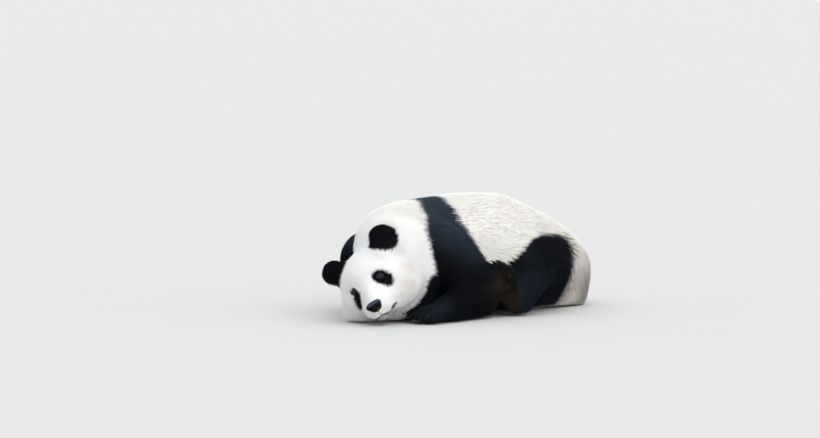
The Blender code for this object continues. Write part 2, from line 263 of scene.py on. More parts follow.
# ---------------------------------------------------------------- markings and lie of the coat
# Depth of the coat over the skin, in metres, by the start of the node's name.
DEPTHS = {
    "head": 0.0115,
    "neck": 0.0150,
    "trunk": 0.0145,
    "tail": 0.0110,
    "ear": 0.0060,
    "nose": 0.0030,
    "eye": 0.0050,
    "upper": 0.0125,
    "lower": 0.0105,
    "paw": 0.0070,
}
FLOOR_DEPTH = 0.004

# The black band: the height seen square to the flank, and how far back its two edges lie.
BAND_FRONT = (
    (0.000, -0.0700), (0.070, -0.0550), (0.105, -0.0350), (0.130, -0.0120), (0.150, 0.0085),
    (0.188, 0.0058), (0.230, -0.0048), (0.279, -0.0116), (0.326, -0.0116), (0.361, -0.0300),
    (0.393, -0.0370),
)
# Where the white ruff of the cheek ends against the black chest.
RUFF_REAR = (
    (0.000, -0.0750), (0.044, -0.0430), (0.078, -0.0180), (0.112, -0.0130), (0.140, 0.0100),
)
BAND_REAR = (
    (0.100, 0.2100), (0.163, 0.1758), (0.188, 0.1550), (0.230, 0.1411), (0.272, 0.1258),
    (0.313, 0.1054), (0.360, 0.0800), (0.396, 0.0430),
)
THIGH_OUTLINE = (
    (0.265, 0.167), (0.299, 0.190), (0.330, 0.221), (0.350, 0.248), (0.384, 0.268), (0.435, 0.266),
    (0.474, 0.252), (0.500, 0.216), (0.500, 0.173), (0.492, 0.139), (0.484, 0.105), (0.430, 0.020),
    (0.200, 0.000), (0.220, 0.120),
)
# Each eye's side, the reach of the black round it, and the outline of its patch from the eye,
# outward and up.
EYE_PATCHES = (
    (
        1,
        0.0165,
        (
            (-0.0200, 0.0125), (-0.0120, 0.0245), (0.0060, 0.0255), (0.0220, 0.0120),
            (0.0400, -0.0130), (0.0370, -0.0265), (0.0330, -0.0430), (0.0205, -0.0480),
            (0.0035, -0.0340), (-0.0140, -0.0125),
        ),
    ),
    (
        -1,
        0.0130,
        (
            (-0.0010, 0.0220), (-0.0130, 0.0060), (-0.0165, -0.0125), (-0.0060, -0.0325),
            (0.0015, -0.0535), (0.0120, -0.0640), (0.0230, -0.0600), (0.0260, -0.0490),
            (0.0230, -0.0330), (0.0125, -0.0100),
        ),
    ),
)
MOUTH_HALF = 0.055
FAR = 0.040  # depths in and outside a marking are cut off here
FLANK_BACK = (0.743, 0.669)  # how far back a place looks, seen square to the flank
FLANK_UP = (0.0467, -0.0518, 0.9976)
EAR_OUT = HEAD_UP * 0.80  # the way an ear points, before its lean to the side
EAR_LEAN = 0.55


def part_of(name):
    """What DEPTHS calls this node."""
    words = name.split("_")
    return words[-1] if words[0] in ("fore", "hind") else words[0]


KINDS = np.array([part_of(name) for name in COATED], object)
PART_DEPTHS = np.array([DEPTHS[kind] for kind in KINDS])
FACE_PARTS = [COATED.index(name) for name in ("head", "nose", "eye_left", "eye_right")]


def mouth_height(left):
    """How high the closed mouth's line runs, across the muzzle."""
    share = np.clip(np.abs(left) / MOUTH_HALF, 0, 1)
    return -0.0805 - 0.0065 * np.sin(math.pi * share) + 0.0110 * share**2


def coat_depth(places, normals, part):
    """How far the skin lies under the tips of the coat."""
    base = PART_DEPTHS[part]
    local = in_head(places)
    on = np.isin(part, FACE_PARTS)
    front = smoothstep(-0.01, 0.08, local[:, 1]) * smoothstep(0.130, 0.085, np.abs(local[:, 0]))
    muzzle = smoothstep(0.09, 0.13, local[:, 1])
    short = base + (0.0060 - base) * front
    short = short + (0.0034 - short) * muzzle
    base = np.where(on, short, base)
    low = smoothstep(0.05, 0.01, places[:, 2]) * smoothstep(-0.3, -0.8, normals[:, 2])
    return base + (np.minimum(base, FLOOR_DEPTH) - base) * low


def outline_distance(across, height, outline):
    """How deep each place is inside an outline; outside it is negative."""
    best = np.full(len(across), 1e9)
    inside = np.zeros(len(across), bool)
    for (ax, ay), (bx, by) in zip(outline, (*outline[1:], outline[0])):
        dx, dy = bx - ax, by - ay
        share = np.clip(((across - ax) * dx + (height - ay) * dy) / (dx * dx + dy * dy), 0, 1)
        best = np.minimum(best, np.hypot(across - ax - share * dx, height - ay - share * dy))
        if ay != by:
            crosses = (ay > height) != (by > height)
            inside ^= crosses & (across < ax + (height - ay) * dx / dy)
    return np.where(inside, best, -best)


def flank_view(places):
    """How far back and how high a place is as the flank is seen, the same on both sides."""
    x, y, z = places.T
    aside = np.hypot(y, 0.03)
    back = FLANK_BACK[0] * x + FLANK_BACK[1] * aside
    return back, FLANK_UP[0] * x + FLANK_UP[1] * aside + FLANK_UP[2] * z


def black_depth(places, part, net):
    """How deep each place is in the black coat, in metres; negative in the white."""
    across, height = flank_view(places)
    kind = KINDS[part]
    fore, hind = (np.char.startswith(COATED, leg)[part] for leg in ("fore", "hind"))
    front = across - np.interp(height, *zip(*BAND_FRONT))
    rear = np.interp(height, *zip(*BAND_REAR)) - across
    band = np.minimum(front, rear)
    band = np.where(np.isin(kind, ("trunk", "neck")), band, -FAR)
    ruff = np.minimum(across - np.interp(height, *zip(*RUFF_REAR)), 0.132 - height)
    ruff = np.where(kind == "head", np.minimum(ruff, FAR), -FAR)
    shoulder = np.where(fore & (kind == "upper"), np.minimum(front, FAR), -FAR)
    thigh = outline_distance(across, height, THIGH_OUTLINE)
    thigh = np.minimum(thigh, (np.abs(places[:, 1]) - 0.105) * 0.8)
    thigh = np.where(np.isin(kind, ("trunk", "upper", "tail")) & ~fore, thigh, -FAR)
    ears = np.maximum(*(ear_depth(places, side) for side in SIDES))
    whole = (kind == "ear") | ((fore | hind) & np.isin(kind, ("lower", "paw")))
    whole = net.smooth(np.where(whole, 0.03, -0.03), 3)
    depth = np.maximum.reduce([band, ruff, shoulder, thigh, whole, ears])
    return np.maximum(depth, face_marks(in_head(places)))


def ear_depth(places, side):
    """How deep each place is in the round of an ear."""
    left, face, up = EAR_PLACE
    centre = on_head(side * left, face, up if side > 0 else up - EAR_DROP)
    out = (HEAD_LEFT * side * EAR_LEAN + EAR_OUT).normalized()
    front = (HEAD_FACE * 0.94 + HEAD_LEFT * side * 0.28).normalized()
    across = front.cross(out).normalized()
    front = out.cross(across).normalized()
    half = np.array(EAR_HALF) + (0.0, 0.012, 0.002)
    offset = (places - np.array(centre)) @ np.array([across, front, out]).T
    return np.clip((1 - lengths(offset / half)) * 0.045, -FAR, FAR)


def from_eye(places, side):
    return lengths(places - np.array(eye_centre(side)))


def face_marks(local):
    """Depth in the eye patches and the skin under the nose."""
    depth = np.full(len(local), -FAR)
    front = local[:, 1] > 0
    for side, ring, outline in EYE_PATCHES:
        eye = in_head(np.array([eye_centre(side)]))[0]
        patch = outline_distance(side * (local[:, 0] - eye[0]), local[:, 2] - eye[2], outline)
        patch = np.maximum(patch, ring - lengths(local - eye))
        depth = np.where(front, np.maximum(depth, np.clip(patch, -FAR, FAR)), depth)
    return np.maximum(depth, np.maximum(nose_depth(local), -FAR))


def nose_depth(local):
    """How deep each place is in the dark skin round the nose."""
    return 0.0265 - lengths((local - np.array(NOSE_PLACE)) * (0.95, 1, 1.35))


def lip_depth(local):
    """Depth in the dark line of the closed mouth and the groove above it."""
    left, face, up = local.T
    corner = 0.0014 * smoothstep(0.028, 0.036, np.abs(left))
    line = 0.0017 + corner - np.abs(up - mouth_height(left))
    line = np.minimum(line, (0.0455 - np.abs(left)) * 0.40)
    groove = np.minimum(0.0008 - np.abs(left), (up + 0.081) * 0.5)
    groove = np.minimum(groove, (-0.045 - up) * 0.5)
    lips = np.maximum(line, groove)
    return np.where(face > 0.07, lips, -FAR)


def lie_on_head(local, normals):
    """The way the hair lies on the head: out and back from the nose, and along the lips."""
    left, _, up = local.T
    spread = np.array(HEAD_LEFT) * (left * 9)[:, None]
    spread += np.array(HEAD_UP) * ((up + 0.045) * 9)[:, None]
    back = spread - np.array(HEAD_FACE) * 0.75 - np.array((0, 0, 0.30))
    beside = np.cross(normals, np.array(HEAD_UP))
    beside *= np.sign(beside @ -np.array(HEAD_FACE))[:, None]
    near = smoothstep(-0.016, -0.005, lip_depth(local))[:, None]
    return unit(back) * (1 - near) + unit(beside) * near


def lie_of_coat(places, normals, part, net):
    """The way the hair lies: back from the nose, down the flanks and along each leg."""
    flow = np.tile(np.array((1.0, 0.0, -0.42)), (len(places), 1))
    local = in_head(places)
    for index, name in enumerate(COATED):
        own = part == index
        kind = part_of(name)
        if kind in ("head", "nose", "eye"):
            flow[own] = lie_on_head(local[own], normals[own])
        elif kind == "ear":
            side = 1 if name.endswith("left") else -1
            flow[own] = HEAD_LEFT * side * EAR_LEAN + EAR_OUT - HEAD_FACE * 0.15
        elif kind == "tail":
            flow[own] = (0.35, 0, -1)
        elif name.startswith(("fore", "hind")):
            joints, forward = LEGS["_".join(name.split("_")[:2])][:2]
            upper, middle, end = (np.array(joint) for joint in joints)
            lie = {"upper": middle - upper, "lower": end - middle, "paw": np.array(forward)}
            if name.startswith("hind"):
                lie["upper"] = np.array((0.15, 0, -1))
            flow[own] = unit(lie[kind])
    rump = smoothstep(0.48, 0.62, places[:, 0])[:, None]
    flow = flow + rump * np.array((0, 0, -1.2))
    flow = net.smooth(unit(flow), 8)
    flow -= normals * (flow * normals).sum(1, keepdims=True)
    return unit(flow)


def calm_normals(net):
    """The skin's normals, evened out, and most of all round the eyes' lids."""
    mild = unit(net.smooth(net.normals, 3))
    near = np.minimum(from_eye(net.points, 1), from_eye(net.points, -1))
    share = smoothstep(0.050, 0.030, near)[:, None]
    return unit(mild + (net.smooth(mild, 40) - mild) * share)


def toe_share(places, part):
    """0 over most of the coat, and up to 1 at the ends of the toes."""
    share = np.zeros(len(places))
    for index, name in enumerate(COATED):
        if part_of(name) == "paw":
            joints, forward, _, size = LEGS["_".join(name.split("_")[:2])]
            own = part == index
            along = (places[own] - np.array(joints[-1])) @ unit(np.array(forward))
            share[own] = smoothstep(0.62, 0.88, along / size[0])
    return share


SIGHT_START = 0.016  # how high over the skin a ray starts
SIGHT = 0.12  # and how far it looks
SIGHT_LEAN = 0.9
SIGHT_TURN = math.radians(51.4)


def openness(points, normals, tree):
    """The share of a few rays from each place that meet neither skin nor floor nearby."""
    turns = [(0.0, 0.0)] + [(SIGHT_LEAN, SIGHT_TURN * spoke) for spoke in range(7)]
    seen = np.zeros(len(points))
    for index, (point, normal) in enumerate(zip(points, normals)):
        out = Vector(normal)
        aside = out.orthogonal().normalized()
        other = out.cross(aside)
        start = Vector(point) + out * SIGHT_START
        for lean, turn in turns:
            side = aside * math.cos(turn) + other * math.sin(turn)
            ray = out * math.cos(lean) + side * math.sin(lean)
            if start.z + ray.z * SIGHT > 0 and tree.ray_cast(start, ray, SIGHT)[0] is None:
                seen[index] += 1
    return seen / len(turns)


# ---------------------------------------------------------------- the skin
SKIN_CELL = 0.0062
SKIN_SMOOTHING = 14
SMOOTHING_SHARES = (0.16, 0.5)  # of thin parts, and of all others
LID_SPOKES = 56
LID_REACH = 0.0215
LID_BACK, LID_FRONT = -0.015, 0.04  # the skin between these heights over the eye is replaced
LID_COVER = EYE_RADIUS + 0.0008  # no part of a lid lies nearer to the eye's middle
OPENING = (0.0092, 0.0046, 0.0036)  # half length of the eye's opening, its rise and its drop
LIP_DEPTH, LIP_WIDTH = 0.0036, 0.0022  # how far the mouth's line is sunk
LIP_SWELL, LIP_SWELL_AT = 0.0014, 0.0065  # how far the lips swell beside it, and where
GROOVE_DEPTH = 0.0018
PAD_HEIGHT = 0.0045
HEEL_PAD = (0.020, 0.040)  # half length and half width
TOE_PAD = (0.0105, 0.0085)
LUMP = 0.0022  # unevenness of the body
EYE_TILT = 0.30  # how much lower the outer corner hangs
SOCKET_RIM = 0.045  # how far from the eye the skin is refined and its open edge is looked for
# For each ring of the lids, out from the eye's opening: its share of the way out, and its height
# over the ball.
LID_RINGS = (
    (0.00, -0.0020), (0.00, 0.0002), (0.04, 0.0010), (0.12, 0.0014), (0.24, 0.0013),
    (0.36, 0.0010), (0.50, 0.0010), (0.66, 0.0010), (0.82, 0.0010), (1.00, 0.0010),
)


def joined_nodes():
    """One mesh of the CAD nodes under the coat, and the node that each face belongs to."""
    mesh = bmesh.new()
    owner = []
    for index, name in enumerate(COATED):
        before = len(mesh.faces)
        mesh.from_mesh(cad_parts[name].data)
        owner += [index] * (len(mesh.faces) - before)
    return made_object(mesh, "flesh"), np.array(owner)


def nearest_part(places, tree, owner):
    """The node whose surface is nearest to each place."""
    return owner[[tree.find_nearest(place)[2] for place in places]]


def refine(mesh, centre, reach):
    """Halves every edge near a place."""
    edges = [
        edge
        for edge in mesh.edges
        if all(((vert.co - centre).length < reach) for vert in edge.verts)
    ]
    bmesh.ops.subdivide_edges(mesh, edges=edges, cuts=1, use_grid_fill=True, smooth=0.0)
    bmesh.ops.triangulate(mesh, faces=[face for face in mesh.faces if len(face.verts) > 4])


def eye_axes(side):
    """Out of the eye, towards its outer corner, and up."""
    out = (HEAD_FACE * 0.93 + HEAD_LEFT * side * 0.36).normalized()
    across = (HEAD_LEFT * side - out * (HEAD_LEFT * side).dot(out)).normalized()
    up = (HEAD_UP - out * HEAD_UP.dot(out) - across * HEAD_UP.dot(across)).normalized()
    cos, sin = math.cos(EYE_TILT), math.sin(EYE_TILT)
    return out, across * cos - up * sin, up * cos + across * sin


def open_loop(mesh, centre, reach):
    """The longest closed loop of open edges near a place, as its points in order."""
    edges = [e for e in mesh.edges if e.is_boundary and (e.verts[0].co - centre).length < reach]
    loops = []
    while edges:
        loop = list(edges.pop(0).verts)
        while True:
            ahead = next((edge for edge in loop[-1].link_edges if edge in edges), None)
            if ahead is None:
                break
            edges.remove(ahead)
            loop.append(ahead.other_vert(loop[-1]))
        loops.append(loop[:-1] if loop[0] is loop[-1] else loop)
    return max(loops, key=len)


def join_loops(mesh, inner, outer):
    """A strip of triangles between two closed loops that run the same way round."""
    start = min(range(len(outer)), key=lambda spot: (outer[spot].co - inner[0].co).length)
    inner = [*inner, inner[0]]
    outer = [*outer[start:], *outer[: start + 1]]
    one = other = 0
    while one + 1 < len(inner) or other + 1 < len(outer):
        here, there = inner[one], outer[other]
        step = (inner[one + 1].co - there.co).length if one + 1 < len(inner) else math.inf
        reach = (outer[other + 1].co - here.co).length if other + 1 < len(outer) else math.inf
        if step <= reach:
            one += 1
            mesh.faces.new((here, inner[one], there))
        else:
            other += 1
            mesh.faces.new((here, outer[other], there))


def drop_scraps(mesh):
    """Keeps only the largest connected piece of a mesh."""
    seen, islands = set(), []
    for first in mesh.verts:
        if first in seen:
            continue
        seen.add(first)
        island, front = [], [first]
        while front:
            vert = front.pop()
            island.append(vert)
            for edge in vert.link_edges:
                other = edge.other_vert(vert)
                if other not in seen:
                    seen.add(other)
                    front.append(other)
        islands.append(island)
    islands.sort(key=len)
    scraps = [vert for island in islands[:-1] for vert in island]
    bmesh.ops.delete(mesh, geom=scraps, context="VERTS")


def clear_eye(mesh, centre, out, across, up):
    """Takes away the skin in front of an eye, and gives the open edge, turning as the lids do."""
    doomed = []
    for vert in mesh.verts:
        offset = vert.co - centre
        flat = math.hypot(offset.dot(across), offset.dot(up))
        if flat < LID_REACH + 0.001 and LID_BACK < offset.dot(out) < LID_FRONT:
            doomed.append(vert)
    bmesh.ops.delete(mesh, geom=doomed, context="VERTS")
    rim = open_loop(mesh, centre, SOCKET_RIM)
    flat = [((vert.co - centre).dot(across), (vert.co - centre).dot(up)) for vert in rim]
    if sum(a[0] * b[1] - a[1] * b[0] for a, b in zip(flat, flat[1:] + flat[:1])) < 0:
        rim.reverse()
    return rim


def skin_heights(tree, centre, out, around):
    """How far the skin stands out of the eye's middle along the lids' outer ring, evened out."""
    far = []
    for aside in around:
        place = centre + aside * LID_REACH
        hit = tree.ray_cast(place + out * 0.05, -out)[0]
        far.append((hit - centre).dot(out) if hit else 0.006)
    for _ in range(6):
        far = [
            (far[i - 1] + 2 * far[i] + far[(i + 1) % LID_SPOKES]) / 4 for i in range(LID_SPOKES)
        ]
    return far


def lid_point(angle, share, proud, far):
    """A point of a lid, in the eye's own axes: aside, up and out."""
    half, rise, drop = OPENING
    cos, sin = math.cos(angle), math.sin(angle)
    near_x = half * cos
    near_y = math.copysign((rise if sin > 0 else drop) * abs(sin) ** 1.25, sin)
    x = near_x + (LID_REACH * cos - near_x) * share
    y = near_y + (LID_REACH * sin - near_y) * share
    ball = EYE_RADIUS + proud
    height = math.sqrt(ball * ball - min(math.hypot(x, y), 0.9 * ball) ** 2)
    height += (far - height) * float(smoothstep(0.05, 0.75, share))
    if share > 0 and math.hypot(x, y) < LID_COVER:
        height = max(height, math.sqrt(LID_COVER**2 - x * x - y * y))
    return x, y, height


def set_lids(mesh, tree, side):
    """Replaces the skin in front of an eye by rings that make its two lids."""
    centre = eye_centre(side)
    out, across, up = eye_axes(side)
    rim = clear_eye(mesh, centre, out, across, up)
    angles = [2 * math.pi * spoke / LID_SPOKES for spoke in range(LID_SPOKES)]
    around = [across * math.cos(angle) + up * math.sin(angle) for angle in angles]
    far = skin_heights(tree, centre, out, around)
    rings = []
    for share, proud in LID_RINGS:
        ring = []
        for angle, beyond in zip(angles, far):
            x, y, height = lid_point(angle, share, proud, beyond)
            ring.append(mesh.verts.new(centre + across * x + up * y + out * height))
        rings.append(ring)
    for first, second in zip(rings, rings[1:]):
        for spoke in range(LID_SPOKES):
            after = (spoke + 1) % LID_SPOKES
            mesh.faces.new((first[spoke], first[after], second[after], second[spoke]))
    join_loops(mesh, rings[-1], rim)


def pocket(mesh, side):
    """Closes the skin behind the eyeball, so that the skin stays one closed body."""
    centre = eye_centre(side)
    out, _, _ = eye_axes(side)
    rim = [e for e in mesh.edges if e.is_boundary and (e.verts[0].co - centre).length < 0.02]
    made = bmesh.ops.extrude_edge_only(mesh, edges=rim)["geom"]
    verts = [item for item in made if isinstance(item, bmesh.types.BMVert)]
    for vert in verts:
        flat = vert.co - centre
        flat -= out * flat.dot(out)
        vert.co = centre + flat * 0.8 + out * 0.002
    edges = [item for item in made if isinstance(item, bmesh.types.BMEdge)]
    bmesh.ops.contextual_create(mesh, geom=[e for e in edges if e.is_boundary])


def groove_mouth(places, normals):
    """Sinks the line of the mouth and the groove above it, and swells the lips beside them."""
    local = in_head(places)
    left, face, up = local.T
    off = np.abs(up - mouth_height(left))
    reach = smoothstep(0.075, 0.095, face) * smoothstep(0.056, 0.046, np.abs(left))
    sink = bulge(off, LIP_WIDTH, -LIP_DEPTH) + bulge(off - LIP_SWELL_AT, 0.004, LIP_SWELL)
    between = smoothstep(-0.083, -0.077, up) * smoothstep(-0.052, -0.058, up)
    groove = bulge(left, 0.0016, -GROOVE_DEPTH) * between * smoothstep(0.12, 0.14, face)
    return places + normals * (sink * reach + groove)[:, None]


def swell_pads(places, normals):
    """Raises the bare pads of the soles, and says where they are."""
    bare = np.zeros(len(places))
    lift = np.zeros(len(places))
    for joints, forward, back, (length, width, _) in LEGS.values():
        forward = unit(np.array(forward))
        across = unit(np.cross(forward, back))
        back = np.cross(across, forward)
        offset = places - np.array(joints[-1])
        along, aside = offset @ forward, offset @ across
        facing = smoothstep(0.1, 0.5, -(normals @ back)) * (lengths(offset) < 0.2)
        spots = [(0.52 * length, 0.0, *HEEL_PAD)]
        for share in TOE_SHARES:
            spots.append((length * (0.84 - 0.10 * share * share), share * width * 0.42, *TOE_PAD))
        for place, side, half_length, half_width in spots:
            reach = np.hypot((along - place) / half_length, (aside - side) / half_width)
            dome = np.clip(1 - reach**2, 0, 1) ** 0.5 * facing
            lift = np.maximum(lift, dome * PAD_HEIGHT)
            bare = np.maximum(bare, smoothstep(1.02, 0.90, reach) * facing)
    return places + normals * lift[:, None], bare


def build_skin():
    """The skin, with the CAD surface it came from and the node of each face there."""
    flesh, owner = joined_nodes()
    tree = mesh_tree(flesh.data)
    remesh = flesh.modifiers.new("one skin", "REMESH")
    remesh.mode = "VOXEL"
    remesh.voxel_size = SKIN_CELL
    settle(flesh)
    net = Net(flesh.data)
    part = nearest_part(net.points, tree, owner)
    thin = np.isin(KINDS[part], ("ear", "nose", "paw"))
    share = np.where(thin, *SMOOTHING_SHARES)[:, None]
    soft = net.smooth(net.points, SKIN_SMOOTHING, share)
    move(flesh.data, soft)
    net = Net(flesh.data)
    depth = net.smooth(coat_depth(net.points, net.normals, part), 14)
    lumps = waves(net.points, 9, LUMP)
    lumps = np.where(net.normals[:, 2] < -0.6, 0, lumps)
    normals = unit(net.smooth(net.normals, 4))
    places = net.smooth(net.points - normals * (depth + lumps)[:, None], 4)
    move(flesh.data, places)
    return flesh, tree, owner


def shape_face(obj):
    """Adds fine points round the eyes and mouth, then lids, lips and pads."""
    mesh = bmesh.new()
    mesh.from_mesh(obj.data)
    for reach in (0.075, 0.062):
        refine(mesh, on_head(0, 0.130, -0.074), reach)
    for side in SIDES:
        refine(mesh, eye_centre(side), SOCKET_RIM)
    for leg in ("hind_left", "hind_right"):
        joints, forward, _, size = LEGS[leg]
        sole = Vector(joints[-1]) + Vector(forward).normalized() * size[0] * 0.55
        refine(mesh, sole, 0.10)
    mesh.normal_update()
    tree = BVHTree.FromBMesh(mesh)
    for side in SIDES:
        set_lids(mesh, tree, side)
        pocket(mesh, side)
    bmesh.ops.delete(mesh, geom=[edge for edge in mesh.edges if edge.is_wire], context="EDGES")
    drop_scraps(mesh)
    bmesh.ops.triangulate(mesh, faces=mesh.faces[:])
    bmesh.ops.recalc_face_normals(mesh, faces=mesh.faces[:])
    mesh.to_mesh(obj.data)
    mesh.free()
    net = Net(obj.data)
    places = groove_mouth(net.points, net.normals)
    places, bare = swell_pads(places, net.normals)
    move(obj.data, places)
    return bare


# Stains in the white coat: place, reach and strength.
STAINS = (
    (on_head(0.125, 0.004, 0.056), 0.028, 0.50),
    (on_head(0.108, 0.080, -0.048), 0.032, 0.40),
    (on_head(0.126, 0.045, -0.010), 0.030, 0.44),
    (on_head(0.070, 0.060, 0.078), 0.032, 0.18),
    # low on the rump: a stain, strong enough to be partly painted shade
    (Vector((0.570, -0.160, 0.075)), 0.100, 0.95),
    (Vector((0.65, -0.02, 0.10)), 0.110, 0.55),
    (Vector((0.63, 0.12, 0.08)), 0.110, 0.40),
    (Vector((0.50, -0.19, 0.21)), 0.06, 0.25),
    (Vector((0.045, -0.285, 0.120)), 0.050, 0.55),
    (Vector((0.085, -0.280, 0.050)), 0.050, 0.75),
    (Vector((0.045, 0.285, 0.120)), 0.050, 0.25),
    (Vector((0.085, 0.280, 0.050)), 0.050, 0.35),
)
# where soil and painted shade lie low on the rump, and how far they reach
RUMP_SOIL_AND_SHADE = (0.570, -0.150, 0.070)
RUMP_REACH = (0.095, 0.120, 0.085)


def stain_at(places):
    """The strength of the strongest stain at each place."""
    total = np.zeros(len(places))
    for centre, reach, strength in STAINS:
        far = lengths(places - np.array(centre)) / reach
        total = np.maximum(total, strength * np.exp(-(far**2)))
    return total


def soil_and_shade_at(places):
    """Painted shade under the lower lip and chin, and soil with painted shade low on the rump."""
    left, face, up = in_head(places).T
    under = mouth_height(left) - up
    chin = smoothstep(-0.001, 0.004, under) * smoothstep(0.048, 0.026, np.abs(left))
    chin *= smoothstep(0.05, 0.09, face)
    aside = places * (1, 0, 1) + np.abs(places) * (0, -1, 0)
    rump = lengths((aside - RUMP_SOIL_AND_SHADE) / RUMP_REACH)
    return np.maximum(chin, 0.72 * np.exp(-(rump**2)))


def painted_sky_sheen_at(places, normals):
    """Where a bluish sky sheen is painted on the black: on the upward faces of the band over the
    back, and a little on two legs.
    """
    along, aside, height = places[:, 0], np.abs(places[:, 1]), places[:, 2]
    band = smoothstep(-0.30, -0.20, along) * smoothstep(0.30, 0.15, along)
    band *= smoothstep(-0.15, 0.95, normals[:, 2]) * smoothstep(0.13, 0.28, height)
    shin = smoothstep(0.09, 0.14, along) * smoothstep(0.30, 0.24, along)
    shin *= smoothstep(0.20, 0.24, aside)
    paw = smoothstep(-0.16, -0.21, along) * smoothstep(-0.36, -0.33, along)
    paw *= smoothstep(0.22, 0.26, aside)
    return np.maximum(band, 0.30 * np.maximum(shin, paw) * smoothstep(0.19, 0.13, height))


def warmth_at(places):
    """0 on the clean head, 1 on the creamy body."""
    far = lengths(places - np.array(HEAD_CENTRE))
    return smoothstep(0.11, 0.30, far)


# ---------------------------------------------------------------- the coat
# For each part: tufts to a square metre, length over depth, width at the root.
TUFTS = {
    "head": (190000, 2.9, 0.0014),
    "neck": (104000, 3.0, 0.0020),
    "trunk": (96000, 3.1, 0.0022),
    "tail": (90000, 2.6, 0.0021),
    "ear": (300000, 2.7, 0.0012),
    "nose": (200000, 2.2, 0.0010),
    "eye": (300000, 2.2, 0.0009),
    "upper": (84000, 2.9, 0.0023),
    "lower": (88000, 2.8, 0.0021),
    "paw": (130000, 2.6, 0.0016),
}
MOST_TUFTS = 19900
OWN_SHADE = 0.38  # how far a tuft is shaded by its own sides, and not as the coat it lies in
PATCH = 0.003  # a tuft's own place on the coat's map
SWIRL, SWIRL_JITTER = 0.32, 0.09  # how far the lie wanders, in radians
LENGTH_RANGE = (0.78, 1.15)
LOCK = 12  # tufts to a lock
LOCK_PULL = (0.10, 0.32)
FACING_JITTER = 0.10
LOWEST_BEND, LOWEST_TIP = 0.0015, 0.0008  # over the floor
FOOT_DEPTH = 0.0012  # how far a tuft stands in the skin
# A tuft has seven points: three at its foot, three at its bend, and its tip. Its faces, and the
# shade of each face's corners: those of the points, and 7 and 8 on the underside of foot and bend.
TUFT_FACES = (
    (0, 2, 1), (0, 1, 4, 3), (1, 2, 5, 4), (2, 0, 3, 5), (3, 4, 6), (4, 5, 6), (5, 3, 6),
)
TUFT_SHADES = (
    (0, 2, 1), (7, 7, 8, 8), (1, 2, 5, 4), (2, 0, 3, 5), (8, 8, 8), (4, 5, 6), (5, 3, 6),
)
TUFT_SIZE = 7  # points, and also faces
TUFT_ALONG = (0, 0, 0.06, 0.5, 0.5, 0.55, 1.0)  # each point's share of the way to the tip
TUFT_SIDES = ((0.0, 0.33, 0.17), (0.33, 0.67, 0.50), (0.67, 1.0, 0.83))
# Where the corners of each face lie on the tuft's own patch of the map.
TUFT_MAP = (
    ((0.0, 0.0), (1.0, 0.0), (0.5, 0.1)),
    *(((low, 0.1), (high, 0.1), (high, 0.55), (low, 0.55)) for low, high, _ in TUFT_SIDES),
    *(((low, 0.55), (high, 0.55), (tip, 1.0)) for low, high, tip in TUFT_SIDES),
)


def chained(faces):
    """The entries of all faces, one after the other."""
    return np.array([entry for face in faces for entry in face])


def coat_piece(name, place):
    """The coat piece that a root belongs to."""
    side = "left" if place[1] < 0 else "right"
    kind = part_of(name)
    if kind in ("head", "nose", "eye"):
        left, face, _ = in_head(np.array([place]))[0]
        spot = "face" if face > 0.055 else "crown"
        return f"coat_{spot}_left" if left > 0 else f"coat_{spot}_right"
    if kind == "ear":
        return "coat_ears"
    if kind == "trunk":
        spot = "chest" if place[0] < 0.13 else "flank" if place[0] < 0.36 else "rump"
        return f"coat_{spot}_{side}"
    if kind == "tail":
        return "coat_tail"
    if kind == "neck":
        return f"coat_neck_{side}"
    return f"coat_{name.split('_')[0]}leg_{name.split('_')[1]}"


def full_coat(net, part):
    """Depth, length, width and density of the coat over each point, and its share on the toes."""
    density, ratio, width = (
        net.smooth(np.array(column)[part], 8) for column in zip(*(TUFTS[kind] for kind in KINDS))
    )
    depth = net.smooth(coat_depth(net.points, net.normals, part), 10)
    usual = net.smooth(PART_DEPTHS[part], 8)
    short = np.clip(usual / np.maximum(depth, 0.002), 1, 3.4)  # how much shorter than usual
    short = np.where(net.normals[:, 2] < -0.3, 1, short)
    toes = net.smooth(toe_share(net.points, part), 4)
    length = depth * ratio * (1 + 0.9 * toes)
    return depth, length, width * (0.55 + 0.45 / short), density * short**0.8, toes


def trimmed_at(places, lips):
    """How much shorter the hair is beside the mouth and round the eyes."""
    trim = 0.45 * smoothstep(-0.012, -0.001, lips)
    for side in SIDES:
        trim = np.maximum(trim, 0.62 * smoothstep(0.030, 0.013, from_eye(places, side)))
    return trim


def marking_at(net, part, shown):
    """1 where the coat is black and 0 where it is white, with a soft ragged edge between."""
    black = black_depth(shown, part, net)
    for side, ring, _ in EYE_PATCHES:
        black = np.maximum(black, ring - from_eye(net.points, side))
    ragged = waves(net.points, 60, 0.0025)
    soft = 0.020 + 0.024 * smoothstep(0.38, 0.46, net.points[:, 0])
    sharp = np.where(np.isin(part, FACE_PARTS), 0.006, soft)
    return net.smooth(np.clip(0.5 + (black + ragged * 0.6) / sharp, 0, 1), 2)


def lids_at(places):
    """1 on the bare lids of the eyes and 0 elsewhere."""
    lidded = np.zeros(len(places))
    for side in SIDES:
        _, across, up = (np.array(axis) for axis in eye_axes(side))
        offset = places - np.array(eye_centre(side))
        far = np.hypot(offset @ across / 0.0110, offset @ up / 0.0062)
        lidded = np.maximum(lidded, smoothstep(1.15, 0.95, far) * (lengths(offset) < 0.03))
    return lidded


